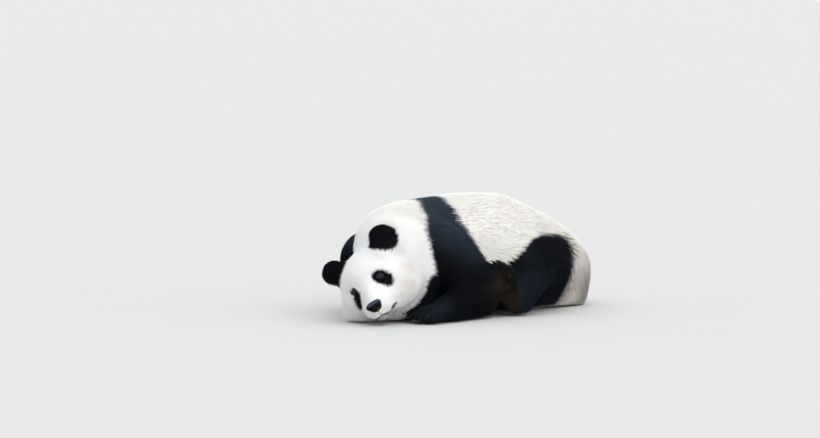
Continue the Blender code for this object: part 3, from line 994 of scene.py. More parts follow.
def plan_coat(mesh, net, part, bare):
    """Writes on the skin how the hair grows at each point, and the colours of skin and hair."""
    local = in_head(net.points)
    lips = lip_depth(local)
    depth, length, width, density, toes = full_coat(net, part)
    trim = trimmed_at(net.points, lips)
    length = length * (1 - trim)
    depth = depth * (1 - trim * 0.8)
    width = width * (1 - trim * 0.5)
    seen = net.smooth(openness(net.points, net.normals, mesh_tree(mesh)), 6)
    density = density * (1 + trim) * (0.20 + 0.80 * smoothstep(0.03, 0.45, seen))
    out = calm_normals(net)
    lie = lie_of_coat(net.points, out, part, net)
    shown = net.points + lie * length[:, None] * 0.7 + out * depth[:, None] * 0.7
    marking = marking_at(net, part, shown)
    edge = 1 - np.abs(2 * marking - 1)
    length = length * (1 - 0.28 * edge)
    width = width * (1 - 0.20 * edge)
    marking = np.maximum(marking, smoothstep(-0.0016, -0.0001, lips))
    lips = smoothstep(-0.0010, 0.0004, lips)
    hidden = smoothstep(-0.75, -0.92, net.normals[:, 2]) * (net.points[:, 2] < 0.02)
    lidded = lids_at(net.points)
    nose = lengths((local - np.array(NOSE_PLACE)) * (0.80, 1, 1.15)) < 0.0195
    none = np.maximum.reduce([lips, hidden, lidded, bare, nose.astype(float)])
    muzzle = smoothstep(0.0, 0.004, nose_depth(local))
    soil_and_shade = soil_and_shade_at(net.points)
    ones = np.ones(len(part))
    # the chin's painted shade and the rump's soil with painted shade darken the skin too
    dark = np.maximum.reduce([marking, lidded, lips, muzzle, soil_and_shade * 0.47])
    carried = {
        "depth": depth,
        "length": length,
        "width": width,
        "density": density * (1 - none),
        "bare": bare,
        "free": toes * 0.75,
        "out": out,
        "black": marking,
        "lie": lie,
        "soil_and_shade": soil_and_shade,
        "lock": np.stack([dark, lidded, ones * 0.5, ones], 1),
        "tint": np.stack([warmth_at(net.points), stain_at(net.points), bare, ones], 1),
    }
    for name, values in carried.items():
        write(mesh, name, values)
    layer = mesh.attributes.new("part", "INT", "POINT")
    layer.data.foreach_set("value", part.astype(np.int32))


class Skin:
    """The skin's triangles and what they carry, as arrays to grow hair from."""

    def __init__(self, obj):
        mesh = obj.data
        mesh.calc_loop_triangles()
        self.corners = read(mesh.loop_triangles, "vertices", 3, np.int32)
        self.points = read(mesh.vertices, "co", 3).astype(float)
        self.normals = read(mesh.attributes["out"].data, "vector", 3).astype(float)
        self.tree = mesh_tree(bpy.data.meshes[PLAIN_SKIN])
        self.values = {
            name: read(mesh.attributes[name].data, "value").astype(float)
            for name in ("depth", "length", "width", "density", "black", "free", "soil_and_shade")
        }
        self.flow = read(mesh.attributes["lie"].data, "vector", 3).astype(float)
        self.part = read(mesh.attributes["part"].data, "value", 1, np.int32)
        a, b, c = (self.points[self.corners[:, k]] for k in range(3))
        self.area = np.linalg.norm(np.cross(b - a, c - a), axis=1) / 2
        self.middle = (a + b + c) / 3

    def at(self, values, triangle, weights):
        """What the skin's points carry, between the corners of each triangle."""
        shares = weights.reshape(-1, 3, *[1] * (values.ndim - 1))
        return (values[self.corners[triangle]] * shares).sum(1)


def scatter(skin, density, rng):
    """Roots spread over triangles by density: the triangle of each and its weights in it."""
    share = np.cumsum(skin.area * density)
    count = int(share[-1])
    marks = (np.arange(count) + rng.uniform(0, 1, count)) * share[-1] / count
    triangle = np.minimum(np.searchsorted(share, marks), len(share) - 1)
    one, two = rng.uniform(0, 1, (2, count))
    flip = one + two > 1
    one, two = np.where(flip, 1 - one, one), np.where(flip, 1 - two, two)
    return triangle, np.stack([1 - one - two, one, two], 1)


def onto_skin(tree, places, heights):
    """Places moved to stand this high over the nearest skin."""
    out = np.empty_like(places)
    for index, place in enumerate(places):
        spot, normal, _, _ = tree.find_nearest(place)
        out[index] = spot + normal * heights[index]
    return out


def laid(skin, root, normal, flow, length, height, free):
    """Where hair of this length and height reaches: down on the skin, or partly straight on."""
    straight = root + flow * length[:, None]
    down = onto_skin(skin.tree, straight, height)
    return down + (straight + normal * height[:, None] - down) * free[:, None]


def clumped(roots, tips, size, pull, rng):
    """Draws neighbouring tips together, as the hairs of locks of this many tufts."""
    count = max(1, int(len(roots) / size))
    heads = rng.choice(len(roots), count, replace=False)
    tree = KDTree(count)
    for index, head in enumerate(heads):
        tree.insert(roots[head], index)
    tree.balance()
    own = heads[[tree.find(root)[1] for root in roots]]
    return tips + (tips[own] - tips) * pull[:, None]


def tuft_mesh(name, base, middle, tip, normal, facing, width, colours, tints, spots, slots):
    """Solid three-sided tufts: a closed foot, a bend and a pointed tip."""
    count = len(base)
    rise = unit(middle - base)
    reach = unit(tip - middle)
    side = unit(np.cross(rise, normal))
    ridge = unit(np.cross(side, rise))
    late = unit(np.cross(reach, normal))
    late_ridge = unit(np.cross(late, reach))
    half = width[:, None] / 2
    foot = base - normal * FOOT_DEPTH
    verts = np.stack(
        [
            foot + side * half,
            foot - side * half,
            foot + ridge * half * 0.5,
            middle + late * half * 0.8,
            middle - late * half * 0.8,
            middle + late_ridge * half * 0.4,
            tip,
        ],
        1,
    )
    sizes = np.array([len(face) for face in TUFT_FACES])
    corners = (chained(TUFT_FACES) + TUFT_SIZE * np.arange(count)[:, None]).ravel()
    starts = np.concatenate([[0], np.cumsum(np.tile(sizes, count))[:-1]])
    mesh = bpy.data.meshes.new(name)
    mesh.vertices.add(TUFT_SIZE * count)
    mesh.loops.add(len(corners))
    mesh.polygons.add(TUFT_SIZE * count)
    mesh.vertices.foreach_set("co", verts.astype(np.float32).ravel())
    mesh.loops.foreach_set("vertex_index", corners.astype(np.int32))
    mesh.polygons.foreach_set("loop_start", starts.astype(np.int32))
    mesh.polygons.foreach_set("use_smooth", np.ones(TUFT_SIZE * count, bool))
    material = np.repeat(slots, TUFT_SIZE).astype(np.int32)
    mesh.polygons.foreach_set("material_index", material)
    mesh.update(calc_edges=True)
    shade = np.stack([side, -side, ridge, late, -late, late_ridge, reach], 1)
    shade = unit(shade * OWN_SHADE + facing[:, None] * (1 - OWN_SHADE))
    shade = np.concatenate([shade, -ridge[:, None], -late_ridge[:, None]], 1)
    write(mesh, "custom_normal", shade[:, chained(TUFT_SHADES)], "CORNER")
    lock = np.repeat(colours[:, None], TUFT_SIZE, 1)
    lock[:, :, 1] = TUFT_ALONG
    write(mesh, "lock", lock)
    write(mesh, "tint", np.repeat(tints[:, None], TUFT_SIZE, 1))
    places = spots[:, None] + (chained(TUFT_MAP) - 0.5) * PATCH
    mesh.uv_layers.new(name=MAP).uv.foreach_set("vector", places.astype(np.float32).ravel())
    return link(name, mesh)


def unwrapped(skin, own):
    """Lays these triangles of the skin flat, and gives each one's corners on the map."""
    used, corners = np.unique(skin.corners[own], return_inverse=True)
    mesh = bpy.data.meshes.new("pattern")
    mesh.from_pydata(skin.points[used].tolist(), [], corners.reshape(-1, 3).tolist())
    obj = link("pattern", mesh)
    lay_out(obj)
    places = read(mesh.uv_layers[MAP].uv, "vector", 2).astype(float)
    bpy.data.objects.remove(obj)
    bpy.data.meshes.remove(mesh)
    low, high = places.min(0), places.max(0)
    places = PATCH + (places - low) / (high - low) * (1 - 2 * PATCH)
    return places.reshape(-1, 3, 2)


def lay_out(obj):
    """Unwraps a whole mesh into the square of a new map."""
    bpy.ops.object.select_all(action="DESELECT")
    obj.select_set(True)
    bpy.context.view_layer.objects.active = obj
    obj.data.uv_layers.active = obj.data.uv_layers.new(name=MAP)
    bpy.ops.object.mode_set(mode="EDIT")
    bpy.ops.mesh.select_all(action="SELECT")
    bpy.ops.uv.smart_project(angle_limit=math.radians(66), island_margin=0.004)
    bpy.ops.object.mode_set(mode="OBJECT")


def grow(skin, name, own, rng, settings, finishes):
    """Grows one coat piece on its own triangles of the skin."""
    density = skin.values["density"][skin.corners].mean(1)
    chosen = np.zeros(len(skin.area))
    chosen[own] = density[own] * settings.fullness
    triangle, weights = scatter(skin, chosen, rng)
    if len(triangle) > MOST_TUFTS:
        keep = np.sort(rng.choice(len(triangle), MOST_TUFTS, replace=False))
        triangle, weights = triangle[keep], weights[keep]
    count = len(triangle)
    root = skin.at(skin.points, triangle, weights)
    normal = unit(skin.at(skin.normals, triangle, weights))
    flow = skin.at(skin.flow, triangle, weights)
    depth, length, width, black, free, soil_and_shade = (
        skin.at(skin.values[key], triangle, weights)
        for key in ("depth", "length", "width", "black", "free", "soil_and_shade")
    )
    swirl = waves(root, 14, SWIRL) + rng.normal(0, SWIRL_JITTER, count)
    flow = unit(flow - normal * (flow * normal).sum(1, keepdims=True))
    aside = np.cross(normal, flow)
    flow = flow * np.cos(swirl)[:, None] + aside * np.sin(swirl)[:, None]
    length = length * rng.uniform(*LENGTH_RANGE, count) * settings.coat_length
    height = depth * (1.06 - 0.50 * rng.uniform(0, 1, count) ** 2)
    middle = laid(skin, root, normal, flow, length * 0.42, height * 0.68, free)
    tip = laid(skin, root, normal, flow, length * 0.95, height, free)
    pull = rng.uniform(*LOCK_PULL, count) * np.abs(2 * black - 1)
    tip = clumped(root, tip, LOCK, pull, rng)
    tip[:, 2] = np.maximum(tip[:, 2], LOWEST_TIP)
    middle[:, 2] = np.maximum(middle[:, 2], LOWEST_BEND)
    facing = unit(normal + rng.normal(0, FACING_JITTER, (count, 3)))
    dark = black > rng.uniform(0.12, 0.88, count)
    ones = np.ones(count)
    colours = np.stack([dark, ones, rng.uniform(0, 1, count), ones], 1)
    # black tufts carry their painted sky sheen here, white tufts their warmth
    cast = np.where(dark, painted_sky_sheen_at(root, normal), warmth_at(root))
    tints = np.stack([cast, stain_at(root), soil_and_shade * rng.uniform(0.55, 1.0, count), ones], 1)
    corner_places = np.zeros((len(skin.area), 3, 2))
    corner_places[own] = unwrapped(skin, own)
    spots = (corner_places[triangle] * weights[:, :, None]).sum(1)
    obj = tuft_mesh(
        name, root, middle, tip, normal, facing, width, colours, tints, spots, dark.astype(int)
    )
    for finish in finishes:
        obj.data.materials.append(finish)
    return obj


# ---------------------------------------------------------------- materials
class Wire:
    """A socket in a material. Arithmetic on it adds Math nodes."""

    def __init__(self, finish, socket):
        self.finish = finish
        self.socket = socket

    def math(self, operation, first, second):
        return self.finish.node("ShaderNodeMath", {"operation": operation}, {0: first, 1: second})

    def __add__(self, other):
        return self.math("ADD", self, other)

    __radd__ = __add__

    def __sub__(self, other):
        return self.math("SUBTRACT", self, other)

    def __rsub__(self, other):
        return self.math("SUBTRACT", other, self)

    def __mul__(self, other):
        return self.math("MULTIPLY", self, other)

    __rmul__ = __mul__


class Finish:
    """A material under construction."""

    def __init__(self, name, **constants):
        self.material = bpy.data.materials.new(name)
        self.material.use_nodes = True
        self.tree = self.material.node_tree
        self.shader = self.tree.nodes["Principled BSDF"]
        for key, value in constants.items():
            self.shader.inputs[key.replace("_", " ")].default_value = value

    def node(self, kind, settings=None, sockets=None, output=0):
        """Any node: its settings first, then the values or links of its sockets."""
        node = self.tree.nodes.new(kind)
        for key, value in (settings or {}).items():
            setattr(node, key, value)
        for key, value in (sockets or {}).items():
            if isinstance(value, Wire):
                self.tree.links.new(value.socket, node.inputs[key])
            elif isinstance(value, tuple) and len(value) == 3 and node.inputs[key].type == "RGBA":
                node.inputs[key].default_value = (*value, 1)
            else:
                node.inputs[key].default_value = value
        return Wire(self, node.outputs[output])

    def mix(self, share, first, second, blend="MIX"):
        return self.node(
            "ShaderNodeMix",
            {"data_type": "RGBA", "blend_type": blend, "clamp_factor": True},
            {0: share, 6: first, 7: second},
            2,
        )

    def vector(self, operation, first, second=None, output=0):
        sockets = {0: first} if second is None else {0: first, 1: second}
        if operation == "SCALE":
            sockets = {0: first, 3: second}
        return self.node("ShaderNodeVectorMath", {"operation": operation}, sockets, output)

    def attribute(self, name):
        """The red, green and blue parts of a colour that the mesh carries."""
        colour = self.node("ShaderNodeAttribute", {"attribute_name": name})
        return [self.node("ShaderNodeSeparateColor", None, {0: colour}, part) for part in range(3)]

    def place(self):
        return self.node("ShaderNodeNewGeometry")

    def noise(self, scale, detail=3.0, roughness=0.5, place=None):
        sockets = {"Vector": place or self.place(), "Scale": scale}
        sockets |= {"Detail": detail, "Roughness": roughness}
        return self.node("ShaderNodeTexNoise", None, sockets)

    def step(self, value, low, high):
        """0 below low and 1 above high, with a smooth rise between."""
        return self.node(
            "ShaderNodeMapRange",
            {"interpolation_type": "SMOOTHSTEP"},
            {"Value": value, "From Min": low, "From Max": high},
        )

    def feed(self, key, wire):
        self.tree.links.new(wire.socket, self.shader.inputs[key])

    def bump(self, height, distance, strength=1.0):
        made = self.node(
            "ShaderNodeBump", None, {"Height": height, "Distance": distance, "Strength": strength}
        )
        self.feed("Normal", made)


def white_hair(finish, settings, along, vary, tint):
    """Creamy white, cooler on the head, with painted shade towards the root, stained patches, and
    painted shade under the chin and soil with painted shade low on the rump.
    """
    warm, stain, soil_and_shade = tint
    clean = finish.mix(warm, tuple(settings.head_white), tuple(settings.body_white))
    # painted shade: each tuft darker towards its root, where the coat shades itself
    root = finish.mix(1.0, clean, (0.94, 0.92, 0.89), "MULTIPLY")
    hair = finish.mix(along * 1.6, root, clean)
    hair = finish.mix(vary * 0.10, hair, (0.72, 0.66, 0.56))
    cloud = finish.noise(26.0, 3.0)
    hair = finish.mix(finish.step(cloud, 0.45, 0.75) * 0.16 * warm, hair, (0.66, 0.55, 0.40))
    hair = finish.mix(stain * (0.6 + vary * 0.4), hair, (0.44, 0.32, 0.21))
    # grey of the chin's painted shade and of the rump's soil with painted shade
    return finish.mix(soil_and_shade, hair, (0.10, 0.11, 0.13))


def black_hair(finish, settings, vary, stain, painted_sheen=0.0):
    """Near black with a blue cast, here and there browner, with a painted bluish sky sheen where
    asked, and brown where soiled.
    """
    hair = finish.mix(vary, tuple(settings.black), (0.0032, 0.0046, 0.0070))
    cloud = finish.noise(11.0, 3.0)
    hair = finish.mix(finish.step(cloud, 0.50, 0.72) * 0.40, hair, (0.008, 0.0065, 0.0055))
    # painted sheen: the sky's bluish reflection painted into the colour
    hair = finish.mix(painted_sheen, hair, (0.027, 0.040, 0.058))
    return finish.mix(stain * (0.35 + vary * 0.65), hair, (0.060, 0.041, 0.027))


def hair_finish(name, settings, dark):
    finish = Finish(
        name,
        Roughness=0.60 if dark else 0.80,
        Specular_IOR_Level=0.05 if dark else 0.12,
        Sheen_Weight=0.03 if dark else 0.20,
        Sheen_Roughness=0.45,
        Sheen_Tint=(0.42, 0.64, 1.0, 1) if dark else (1, 1, 1, 1),
    )
    _, along, vary = finish.attribute("lock")
    tint = finish.attribute("tint")
    if dark:
        # on black hair the tint's first part is the painted sky sheen
        colour = black_hair(finish, settings, vary, tint[1], tint[0])
    else:
        colour = white_hair(finish, settings, along, vary, tint)
    finish.feed("Base Color", colour)
    return finish.material


def skin_finish(settings):
    """The skin under the coat: it carries the coat's markings, with fine lying hair in its bump."""
    finish = Finish("panda_skin", Specular_IOR_Level=0.08, Sheen_Weight=0.02, Sheen_Roughness=0.5)
    black, lid, vary = finish.attribute("lock")
    warm, stain, bare = finish.attribute("tint")
    place = finish.place()
    lie = finish.node("ShaderNodeAttribute", {"attribute_name": "lie"}, None, 1)
    along = finish.vector("DOT_PRODUCT", place, lie, 1)
    streak = finish.vector("SUBTRACT", place, finish.vector("SCALE", lie, along * 0.93))
    hairs = finish.noise(1500.0, 2.0, 0.6, streak)
    # the fine hairs' streaks darken the white between them: painted shade, as at the tufts' roots
    tone = finish.step(hairs, 0.30, 0.75)
    white = white_hair(finish, settings, tone, vary, (warm, stain, 0.0))
    dark = black_hair(finish, settings, vary, stain)
    coat = finish.mix(finish.step(black, 0.30, 0.70), white, dark)
    coat = finish.mix(lid, coat, (0.036, 0.034, 0.045))
    leather = finish.mix(finish.noise(60.0, 4.0), (0.010, 0.0085, 0.0075), (0.024, 0.018, 0.015))
    finish.feed("Base Color", finish.mix(bare, coat, leather))
    finish.feed("Roughness", 0.70 - bare * 0.15 - lid * 0.25)
    grain = finish.node(
        "ShaderNodeTexVoronoi", {"feature": "DISTANCE_TO_EDGE"}, {"Vector": place, "Scale": 420.0}
    )
    height = hairs * (1 - bare) + finish.step(grain, 0.0, 0.25) * bare
    finish.bump(height, 0.0012)
    return finish.material


# ---------------------------------------------------------------- eyes, nose and claws
CORNEA_RISE = 0.0009
CORNEA_REACH = 0.42


def grid_mesh(name, rows):
    """A closed skin over rings of as many points each, capped by its two end points."""
    mesh = bmesh.new()
    rings = [[mesh.verts.new(point) for point in row] for row in rows]
    size = len(rows[1])
    for first, second in zip(rings, rings[1:]):
        for index in range(size):
            after = (index + 1) % size
            if len(first) == 1:
                mesh.faces.new((first[0], second[after], second[index]))
            elif len(second) == 1:
                mesh.faces.new((first[index], first[after], second[0]))
            else:
                mesh.faces.new((first[index], first[after], second[after], second[index]))
    bmesh.ops.recalc_face_normals(mesh, faces=mesh.faces[:])
    obj = made_object(mesh, name)
    obj.data.polygons.foreach_set("use_smooth", np.ones(len(obj.data.polygons), bool))
    return obj


def ringed_piece(name, rows, layer, values, finish):
    """A piece built ring by ring, with what its points carry and its material."""
    obj = grid_mesh(name, rows)
    write(obj.data, layer, values)
    obj.data.materials.append(finish)
    return obj


def ball_spots(rings, spokes, crowding=1.0):
    """For each ring of a ball from its front, the angle from there and the turn of its points."""
    for ring in range(rings + 1):
        angle = math.pi * (ring / rings) ** crowding
        spots = 1 if ring in (0, rings) else spokes
        yield [(angle, 2 * math.pi * spoke / spokes) for spoke in range(spots)]


def eyeball(name, side, finish):
    """A ball with a raised cornea. Each point carries its way from the pupil's middle."""
    centre = eye_centre(side)
    out, across, up = eye_axes(side)
    rows, shares = [], []
    for spots in ball_spots(40, 48, 1.25):
        row = []
        for angle, turn in spots:
            radius = EYE_RADIUS + CORNEA_RISE * math.exp(-((angle / CORNEA_REACH) ** 2))
            aside = across * math.cos(turn) + up * math.sin(turn)
            row.append(centre + (out * math.cos(angle) + aside * math.sin(angle)) * radius)
            wide = math.sin(angle)
            shares.append((angle, math.cos(turn) * wide, math.sin(turn) * wide, 1))
        rows.append(row)
    return ringed_piece(name, rows, "gaze", np.array(shares), finish)


def eye_finish(settings):
    finish = Finish("panda_eye", Roughness=0.06, Specular_IOR_Level=0.20)
    angle, aside, up = finish.attribute("gaze")
    streaks = finish.noise(900.0, 3.0)
    iris = finish.mix(streaks, tuple(settings.eye_brown), (0.007, 0.0042, 0.0028))
    pupil = finish.node("ShaderNodeMath", {"operation": "SQRT"}, {0: aside * aside * 9.0 + up * up})
    colour = finish.mix(finish.step(pupil, 0.26, 0.32), (0.002, 0.002, 0.002), iris)
    colour = finish.mix(finish.step(angle, 0.50, 0.62), colour, (0.004, 0.003, 0.003))
    colour = finish.mix(finish.step(angle, 0.78, 1.05), colour, (0.010, 0.0078, 0.0075))
    finish.feed("Base Color", colour)
    return finish.material


NOSE_HALF = (0.0280, 0.0130, 0.0178)  # half width at its widest, half depth, half height
NOSTRIL, NOSTRIL_TAIL = 0.0105, 0.0165  # how far from the middle
NOSTRIL_DEPTH, NOSTRIL_TAIL_DEPTH, NOSTRIL_RIM = 0.0075, 0.0042, 0.0012


def nose_pad(finish):
    """A broad pad, widest at its top, with two comma nostrils and a groove down the middle."""
    rows, painted_top_highlights = [], []
    for spots in ball_spots(56, 96):
        row = []
        for polar, turn in spots:
            left = math.sin(polar) * math.cos(turn)
            up = math.sin(polar) * math.sin(turn)
            row.append(on_head(*nose_point(left, math.cos(polar), up)))
            # how strongly the sky's highlight is painted on, higher up the pad
            painted_top_highlights.append(float(smoothstep(0.10, 0.70, up)))
        rows.append(row)
    return ringed_piece("nose_pad", rows, "top", greys(painted_top_highlights), finish)


def nose_point(left, face, up):
    """Where a point of a unit ball goes on the nose, along the head's axes."""
    wide = 0.30 + 0.70 * float(smoothstep(-1.0, 0.25, up)) + 0.30 * max(0.0, up) ** 2
    half_width, half_depth, half_height = NOSE_HALF
    x = half_width * wide * math.copysign(abs(left) ** 0.88, left)
    z = half_height * math.copysign(abs(up) ** 0.92, up)
    y = half_depth * math.copysign(abs(face) ** 0.62, face)
    y -= 0.0050 * max(0.0, up) ** 2
    if face > -0.2:
        hole = math.hypot((abs(x) - NOSTRIL) / 0.0052, (z + 0.0005) / 0.0040)
        past = abs(x) - NOSTRIL_TAIL
        comma = math.hypot(past / 0.0060, (z - 0.0025 + 0.25 * past) / 0.0019)
        y -= NOSTRIL_DEPTH * math.exp(-(hole**4)) + NOSTRIL_TAIL_DEPTH * math.exp(-(comma**2))
        y += bulge(hole - 1.6, 0.5, NOSTRIL_RIM)
        y -= bulge(x, 0.0013, GROOVE_DEPTH) * float(smoothstep(0.3, -0.3, up))
    return x, NOSE_PLACE[1] - 0.003 + y, NOSE_PLACE[2] + 0.0025 + z


def nose_finish():
    """Black leather in small cells, with a painted bluish highlight of the sky along the top."""
    finish = Finish("panda_nose", Specular_IOR_Level=0.10)
    cells = finish.node("ShaderNodeTexVoronoi", None, {"Vector": finish.place(), "Scale": 900.0})
    cloud = finish.noise(120.0, 3.0)
    top, _, _ = finish.attribute("top")
    light, deep = (0.005, 0.0055, 0.006), (0.0018, 0.0022, 0.0030)
    colour = finish.mix(finish.step(cloud, 0.35, 0.70), deep, light)
    # painted highlight: the sky's bluish reflection along the top
    colour = finish.mix(top * (0.45 + cloud * 0.6), colour, (0.058, 0.071, 0.094))
    finish.feed("Base Color", colour)
    finish.feed("Roughness", 0.36 + cloud * 0.20)
    finish.bump(1 - finish.step(cells, 0.0, 0.75), 0.0004, 0.7)
    return finish.material


CLAW_LENGTH = 0.036
CLAW_RADIUS = 0.0062
CLAW_BEND = 1.05
CLAW_FLATNESS = 0.62
TOE_SPREAD = 0.16
TOE_REACH = 0.020


def claw_middle(root, towards, down, bend):
    """The middle of a claw where it has turned by this angle."""
    return root + CLAW_LENGTH / CLAW_BEND * (towards * math.sin(bend) + down * (1 - math.cos(bend)))


def claw_piece(name, root, towards, down, finish):
    """A curved, flattened horn cone, keeled above and grooved below."""
    across = towards.cross(down).normalized()
    rings, spokes = 18, 20
    rows, shares = [[root - towards * 0.0005]], [0.0]
    for ring in range(rings):
        share = ring / rings
        bend = share * CLAW_BEND
        middle = claw_middle(root, towards, down, bend)
        outward = down * math.cos(bend) - towards * math.sin(bend)
        thick = CLAW_RADIUS * (1 - share) ** 0.7
        row = []
        for spoke in range(spokes):
            turn = 2 * math.pi * spoke / spokes
            cos, sin = math.cos(turn), math.sin(turn)
            hollow = 1 - 0.22 * math.exp(-(((sin - 1) / 0.25) ** 2))
            way = across * cos * CLAW_FLATNESS + outward * sin * hollow
            row.append(middle + way * thick * 0.96)
            shares.append(share)
        rows.append(row)
    rows.append([claw_middle(root, towards, down, CLAW_BEND)])
    shares.append(1.0)
    return ringed_piece(name, rows, "grown", greys(shares), finish)


def claw_finish(settings):
    finish = Finish("panda_claw", Specular_IOR_Level=0.08)
    share, _, _ = finish.attribute("grown")
    streaks = finish.noise(500.0, 4.0)
    horn = finish.mix(streaks, tuple(settings.claw), (0.006, 0.0055, 0.005))
    colour = finish.mix(finish.step(share, 0.45, 1.0) * 0.7, horn, (0.011, 0.010, 0.009))
    finish.feed("Base Color", colour)
    finish.feed("Roughness", 0.28 + streaks * 0.25)
    finish.bump(streaks, 0.0002, 0.5)
    return finish.material


def toe_fan(leg):
    """For each toe: the root of its claw, its direction and the way down to the sole."""
    joints, forward, back, (length, width, depth) = LEGS[leg]
    forward = Vector(forward).normalized()
    across = forward.cross(Vector(back)).normalized()
    back = across.cross(forward).normalized()
    for share in TOE_SHARES:
        centre = Vector(joints[-1]) + forward * length * (0.80 - 0.10 * share * share)
        centre += across * share * width * 0.40 - back * depth * 0.06
        towards = (forward + across * share * TOE_SPREAD).normalized()
        yield centre + towards * TOE_REACH + back * depth * 0.10, towards, -back


# ---------------------------------------------------------------- the studio
VIEW_WIDTH = 2.788  # metres across the view at the animal
LENS = 180.0
SENSOR = 36.0
VIEW_AZIMUTH = math.radians(-42.0)
VIEW_HEIGHT = math.radians(4.0)
AIM = Vector((-0.0407, 0.0666, 0.3188))
# Each sun's place, strength, spread in degrees and colour.
SUNS = {
    "key": ((-0.5, -1.1, 1.7), 1.55, 70, (1.0, 0.99, 0.97)),
    "front": ((-0.1, -1.0, 0.20), 1.26, 90, (1.0, 1.0, 1.0)),
    "fill": ((-1.5, 0.6, 0.9), 0.30, 70, (0.94, 0.97, 1.0)),
    "rim": ((1.2, 1.2, 1.4), 0.45, 50, (0.97, 0.99, 1.0)),
}
SKY = (0.96, 0.98, 1.0, 1)
SKY_STRENGTH = 0.80


def set_camera():
    data = bpy.data.cameras.new("camera")
    data.lens = LENS
    data.sensor_width = SENSOR
    data.clip_end = 100.0
    camera = link("camera", data)
    flat = math.cos(VIEW_HEIGHT)
    away = Vector(
        (math.sin(VIEW_AZIMUTH) * flat, -math.cos(VIEW_AZIMUTH) * flat, math.sin(VIEW_HEIGHT))
    )
    camera.location = AIM + away * (VIEW_WIDTH * LENS / SENSOR)
    camera.rotation_euler = (-away).to_track_quat("-Z", "Y").to_euler()
    bpy.context.scene.camera = camera


def soft_sun(name, place, strength, spread, colour):
    """A broad even light that shines from a place towards the animal."""
    data = bpy.data.lights.new(name, "SUN")
    data.energy = strength
    data.angle = math.radians(spread)
    data.color = colour
    lamp = link(name, data)
    lamp.rotation_euler = (-Vector(place)).to_track_quat("-Z", "Y").to_euler()


def floor_finish():
    finish = Finish("studio_floor", Roughness=0.9, Specular_IOR_Level=0.2)
    cloud = finish.noise(3.0, 2.0)
    finish.feed("Base Color", finish.mix(cloud, (0.555, 0.555, 0.552), (0.57, 0.57, 0.567)))
    return finish.material


# ---------------------------------------------------------------- the add-on
class PandaSettings(PropertyGroup):
    coat_length: FloatProperty(
        name="Coat length", description="Length of the tufts, as a share of life", default=1.0
    )
    fullness: FloatProperty(
        name="Fullness", description="Number of tufts, as a share of the full coat", default=1.0
    )
    head_white: FloatVectorProperty(
        name="Head white",
        description="White of the clean coat of the head",
        default=(0.915, 0.925, 0.935),
        subtype="COLOR",
    )
    body_white: FloatVectorProperty(
        name="Body white",
        description="Cream of the coat of the body",
        default=(0.925, 0.905, 0.865),
        subtype="COLOR",
    )
    black: FloatVectorProperty(
        name="Black",
        description="Black of the ears, eye patches, band and legs",
        default=(0.0016, 0.0022, 0.0034),
        subtype="COLOR",
    )
    eye_brown: FloatVectorProperty(
        name="Iris",
        description="Brown of the iris",
        default=(0.010, 0.0062, 0.0042),
        subtype="COLOR",
    )
    claw: FloatVectorProperty(
        name="Claw",
        description="Horn of the claws",
        default=(0.0028, 0.0026, 0.0025),
        subtype="COLOR",
    )
    floor_size: FloatProperty(
        name="Floor", description="Width of the studio floor", default=400.0, unit="LENGTH"
    )


class PANDA_OT_skin(Operator):
    """Build one skin under the coat, with lids, lips and pads"""

    bl_idname = "panda.skin"
    bl_label = "Skin"

    def execute(self, context):
        skin, tree, owner = build_skin()
        skin.data.copy().name = PLAIN_SKIN
        bare = shape_face(skin)
        skin.name = skin.data.name = "skin"
        mesh = skin.data
        net = Net(mesh)
        plan_coat(mesh, net, nearest_part(net.points, tree, owner), bare)
        mesh.polygons.foreach_set("use_smooth", np.ones(len(mesh.polygons), bool))
        lay_out(skin)
        mesh.materials.clear()
        mesh.materials.append(skin_finish(context.scene.panda))
        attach(skin, "root")
        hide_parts(*FLESH)
        return {"FINISHED"}


class PANDA_OT_coat(Operator):
    """Grow the coat on the skin, in pieces, as solid tufts that follow the lie of the hair"""

    bl_idname = "panda.coat"
    bl_label = "Coat"

    def execute(self, context):
        settings = context.scene.panda
        skin = Skin(bpy.data.objects["skin"])
        finishes = [
            hair_finish("panda_white_hair", settings, False),
            hair_finish("panda_black_hair", settings, True),
        ]
        first = skin.part[skin.corners[:, 0]]
        labels = np.array([coat_piece(COATED[n], p) for n, p in zip(first, skin.middle)])
        for number, label in enumerate(sorted(set(labels))):
            own = np.flatnonzero(labels == label)
            rng = np.random.default_rng(SEED + number)
            piece = grow(skin, label, own, rng, settings, finishes)
            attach(piece, "root")
        bpy.data.meshes.remove(bpy.data.meshes[PLAIN_SKIN])
        return {"FINISHED"}


class PANDA_OT_eyes(Operator):
    """Set the two eyes"""

    bl_idname = "panda.eyes"
    bl_label = "Eyes"

    def execute(self, context):
        finish = eye_finish(context.scene.panda)
        for node, side in (("eye_left", 1), ("eye_right", -1)):
            ball = eyeball(node.replace("eye", "eyeball"), side, finish)
            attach(ball, "root")
            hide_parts(node)
        return {"FINISHED"}


class PANDA_OT_nose(Operator):
    """Set the nose pad"""

    bl_idname = "panda.nose"
    bl_label = "Nose"

    def execute(self, context):
        pad = nose_pad(nose_finish())
        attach(pad, "root")
        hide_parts("nose")
        return {"FINISHED"}


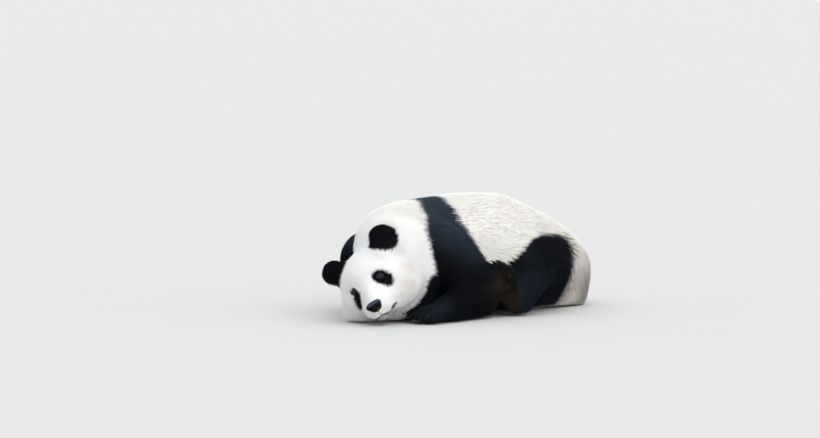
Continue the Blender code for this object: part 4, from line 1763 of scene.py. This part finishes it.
class PANDA_OT_claws(Operator):
    """Set five claws on each paw"""

    bl_idname = "panda.claws"
    bl_label = "Claws"

    def execute(self, context):
        finish = claw_finish(context.scene.panda)
        for leg in LEGS:
            for index, (root, towards, down) in enumerate(toe_fan(leg)):
                horn = claw_piece(f"horn_{leg}_{index + 1}", root, towards, down, finish)
                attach(horn, "root")
                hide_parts(f"claw_{leg}_{index + 1}")
        return {"FINISHED"}


class PANDA_OT_studio(Operator):
    """Lay the pale floor, hang the soft lights and set the camera"""

    bl_idname = "panda.studio"
    bl_label = "Studio"

    def execute(self, context):
        settings = context.scene.panda
        mesh = bmesh.new()
        bmesh.ops.create_grid(mesh, x_segments=1, y_segments=1, size=settings.floor_size / 2)
        floor = made_object(mesh, "studio_floor")
        floor.data.materials.append(floor_finish())
        world = bpy.data.worlds.new("studio")
        world.use_nodes = True
        back = world.node_tree.nodes["Background"]
        back.inputs["Color"].default_value = SKY
        back.inputs["Strength"].default_value = SKY_STRENGTH
        context.scene.world = world
        for name, sun in SUNS.items():
            soft_sun(name, *sun)
        set_camera()
        context.scene.view_settings.view_transform = "Standard"
        return {"FINISHED"}


STEPS = (
    PANDA_OT_skin,
    PANDA_OT_coat,
    PANDA_OT_eyes,
    PANDA_OT_nose,
    PANDA_OT_claws,
    PANDA_OT_studio,
)


class PANDA_PT_sidebar(Panel):
    bl_label = "Panda"
    bl_idname = "PANDA_PT_sidebar"
    bl_space_type = "VIEW_3D"
    bl_region_type = "UI"
    bl_category = "Panda"

    def draw(self, context):
        settings = context.scene.panda
        for key in PandaSettings.__annotations__:
            self.layout.prop(settings, key)
        for step in STEPS:
            self.layout.operator(step.bl_idname)


CLASSES = (PandaSettings, *STEPS, PANDA_PT_sidebar)


def register():
    for each in CLASSES:
        bpy.utils.register_class(each)
    bpy.types.Scene.panda = PointerProperty(type=PandaSettings)


def unregister():
    del bpy.types.Scene.panda
    for each in reversed(CLASSES):
        bpy.utils.unregister_class(each)


def main():
    register()
    for step in STEPS:
        group, call = step.bl_idname.split(".")
        getattr(getattr(bpy.ops, group), call)()


if __name__ == "__main__":
    main()
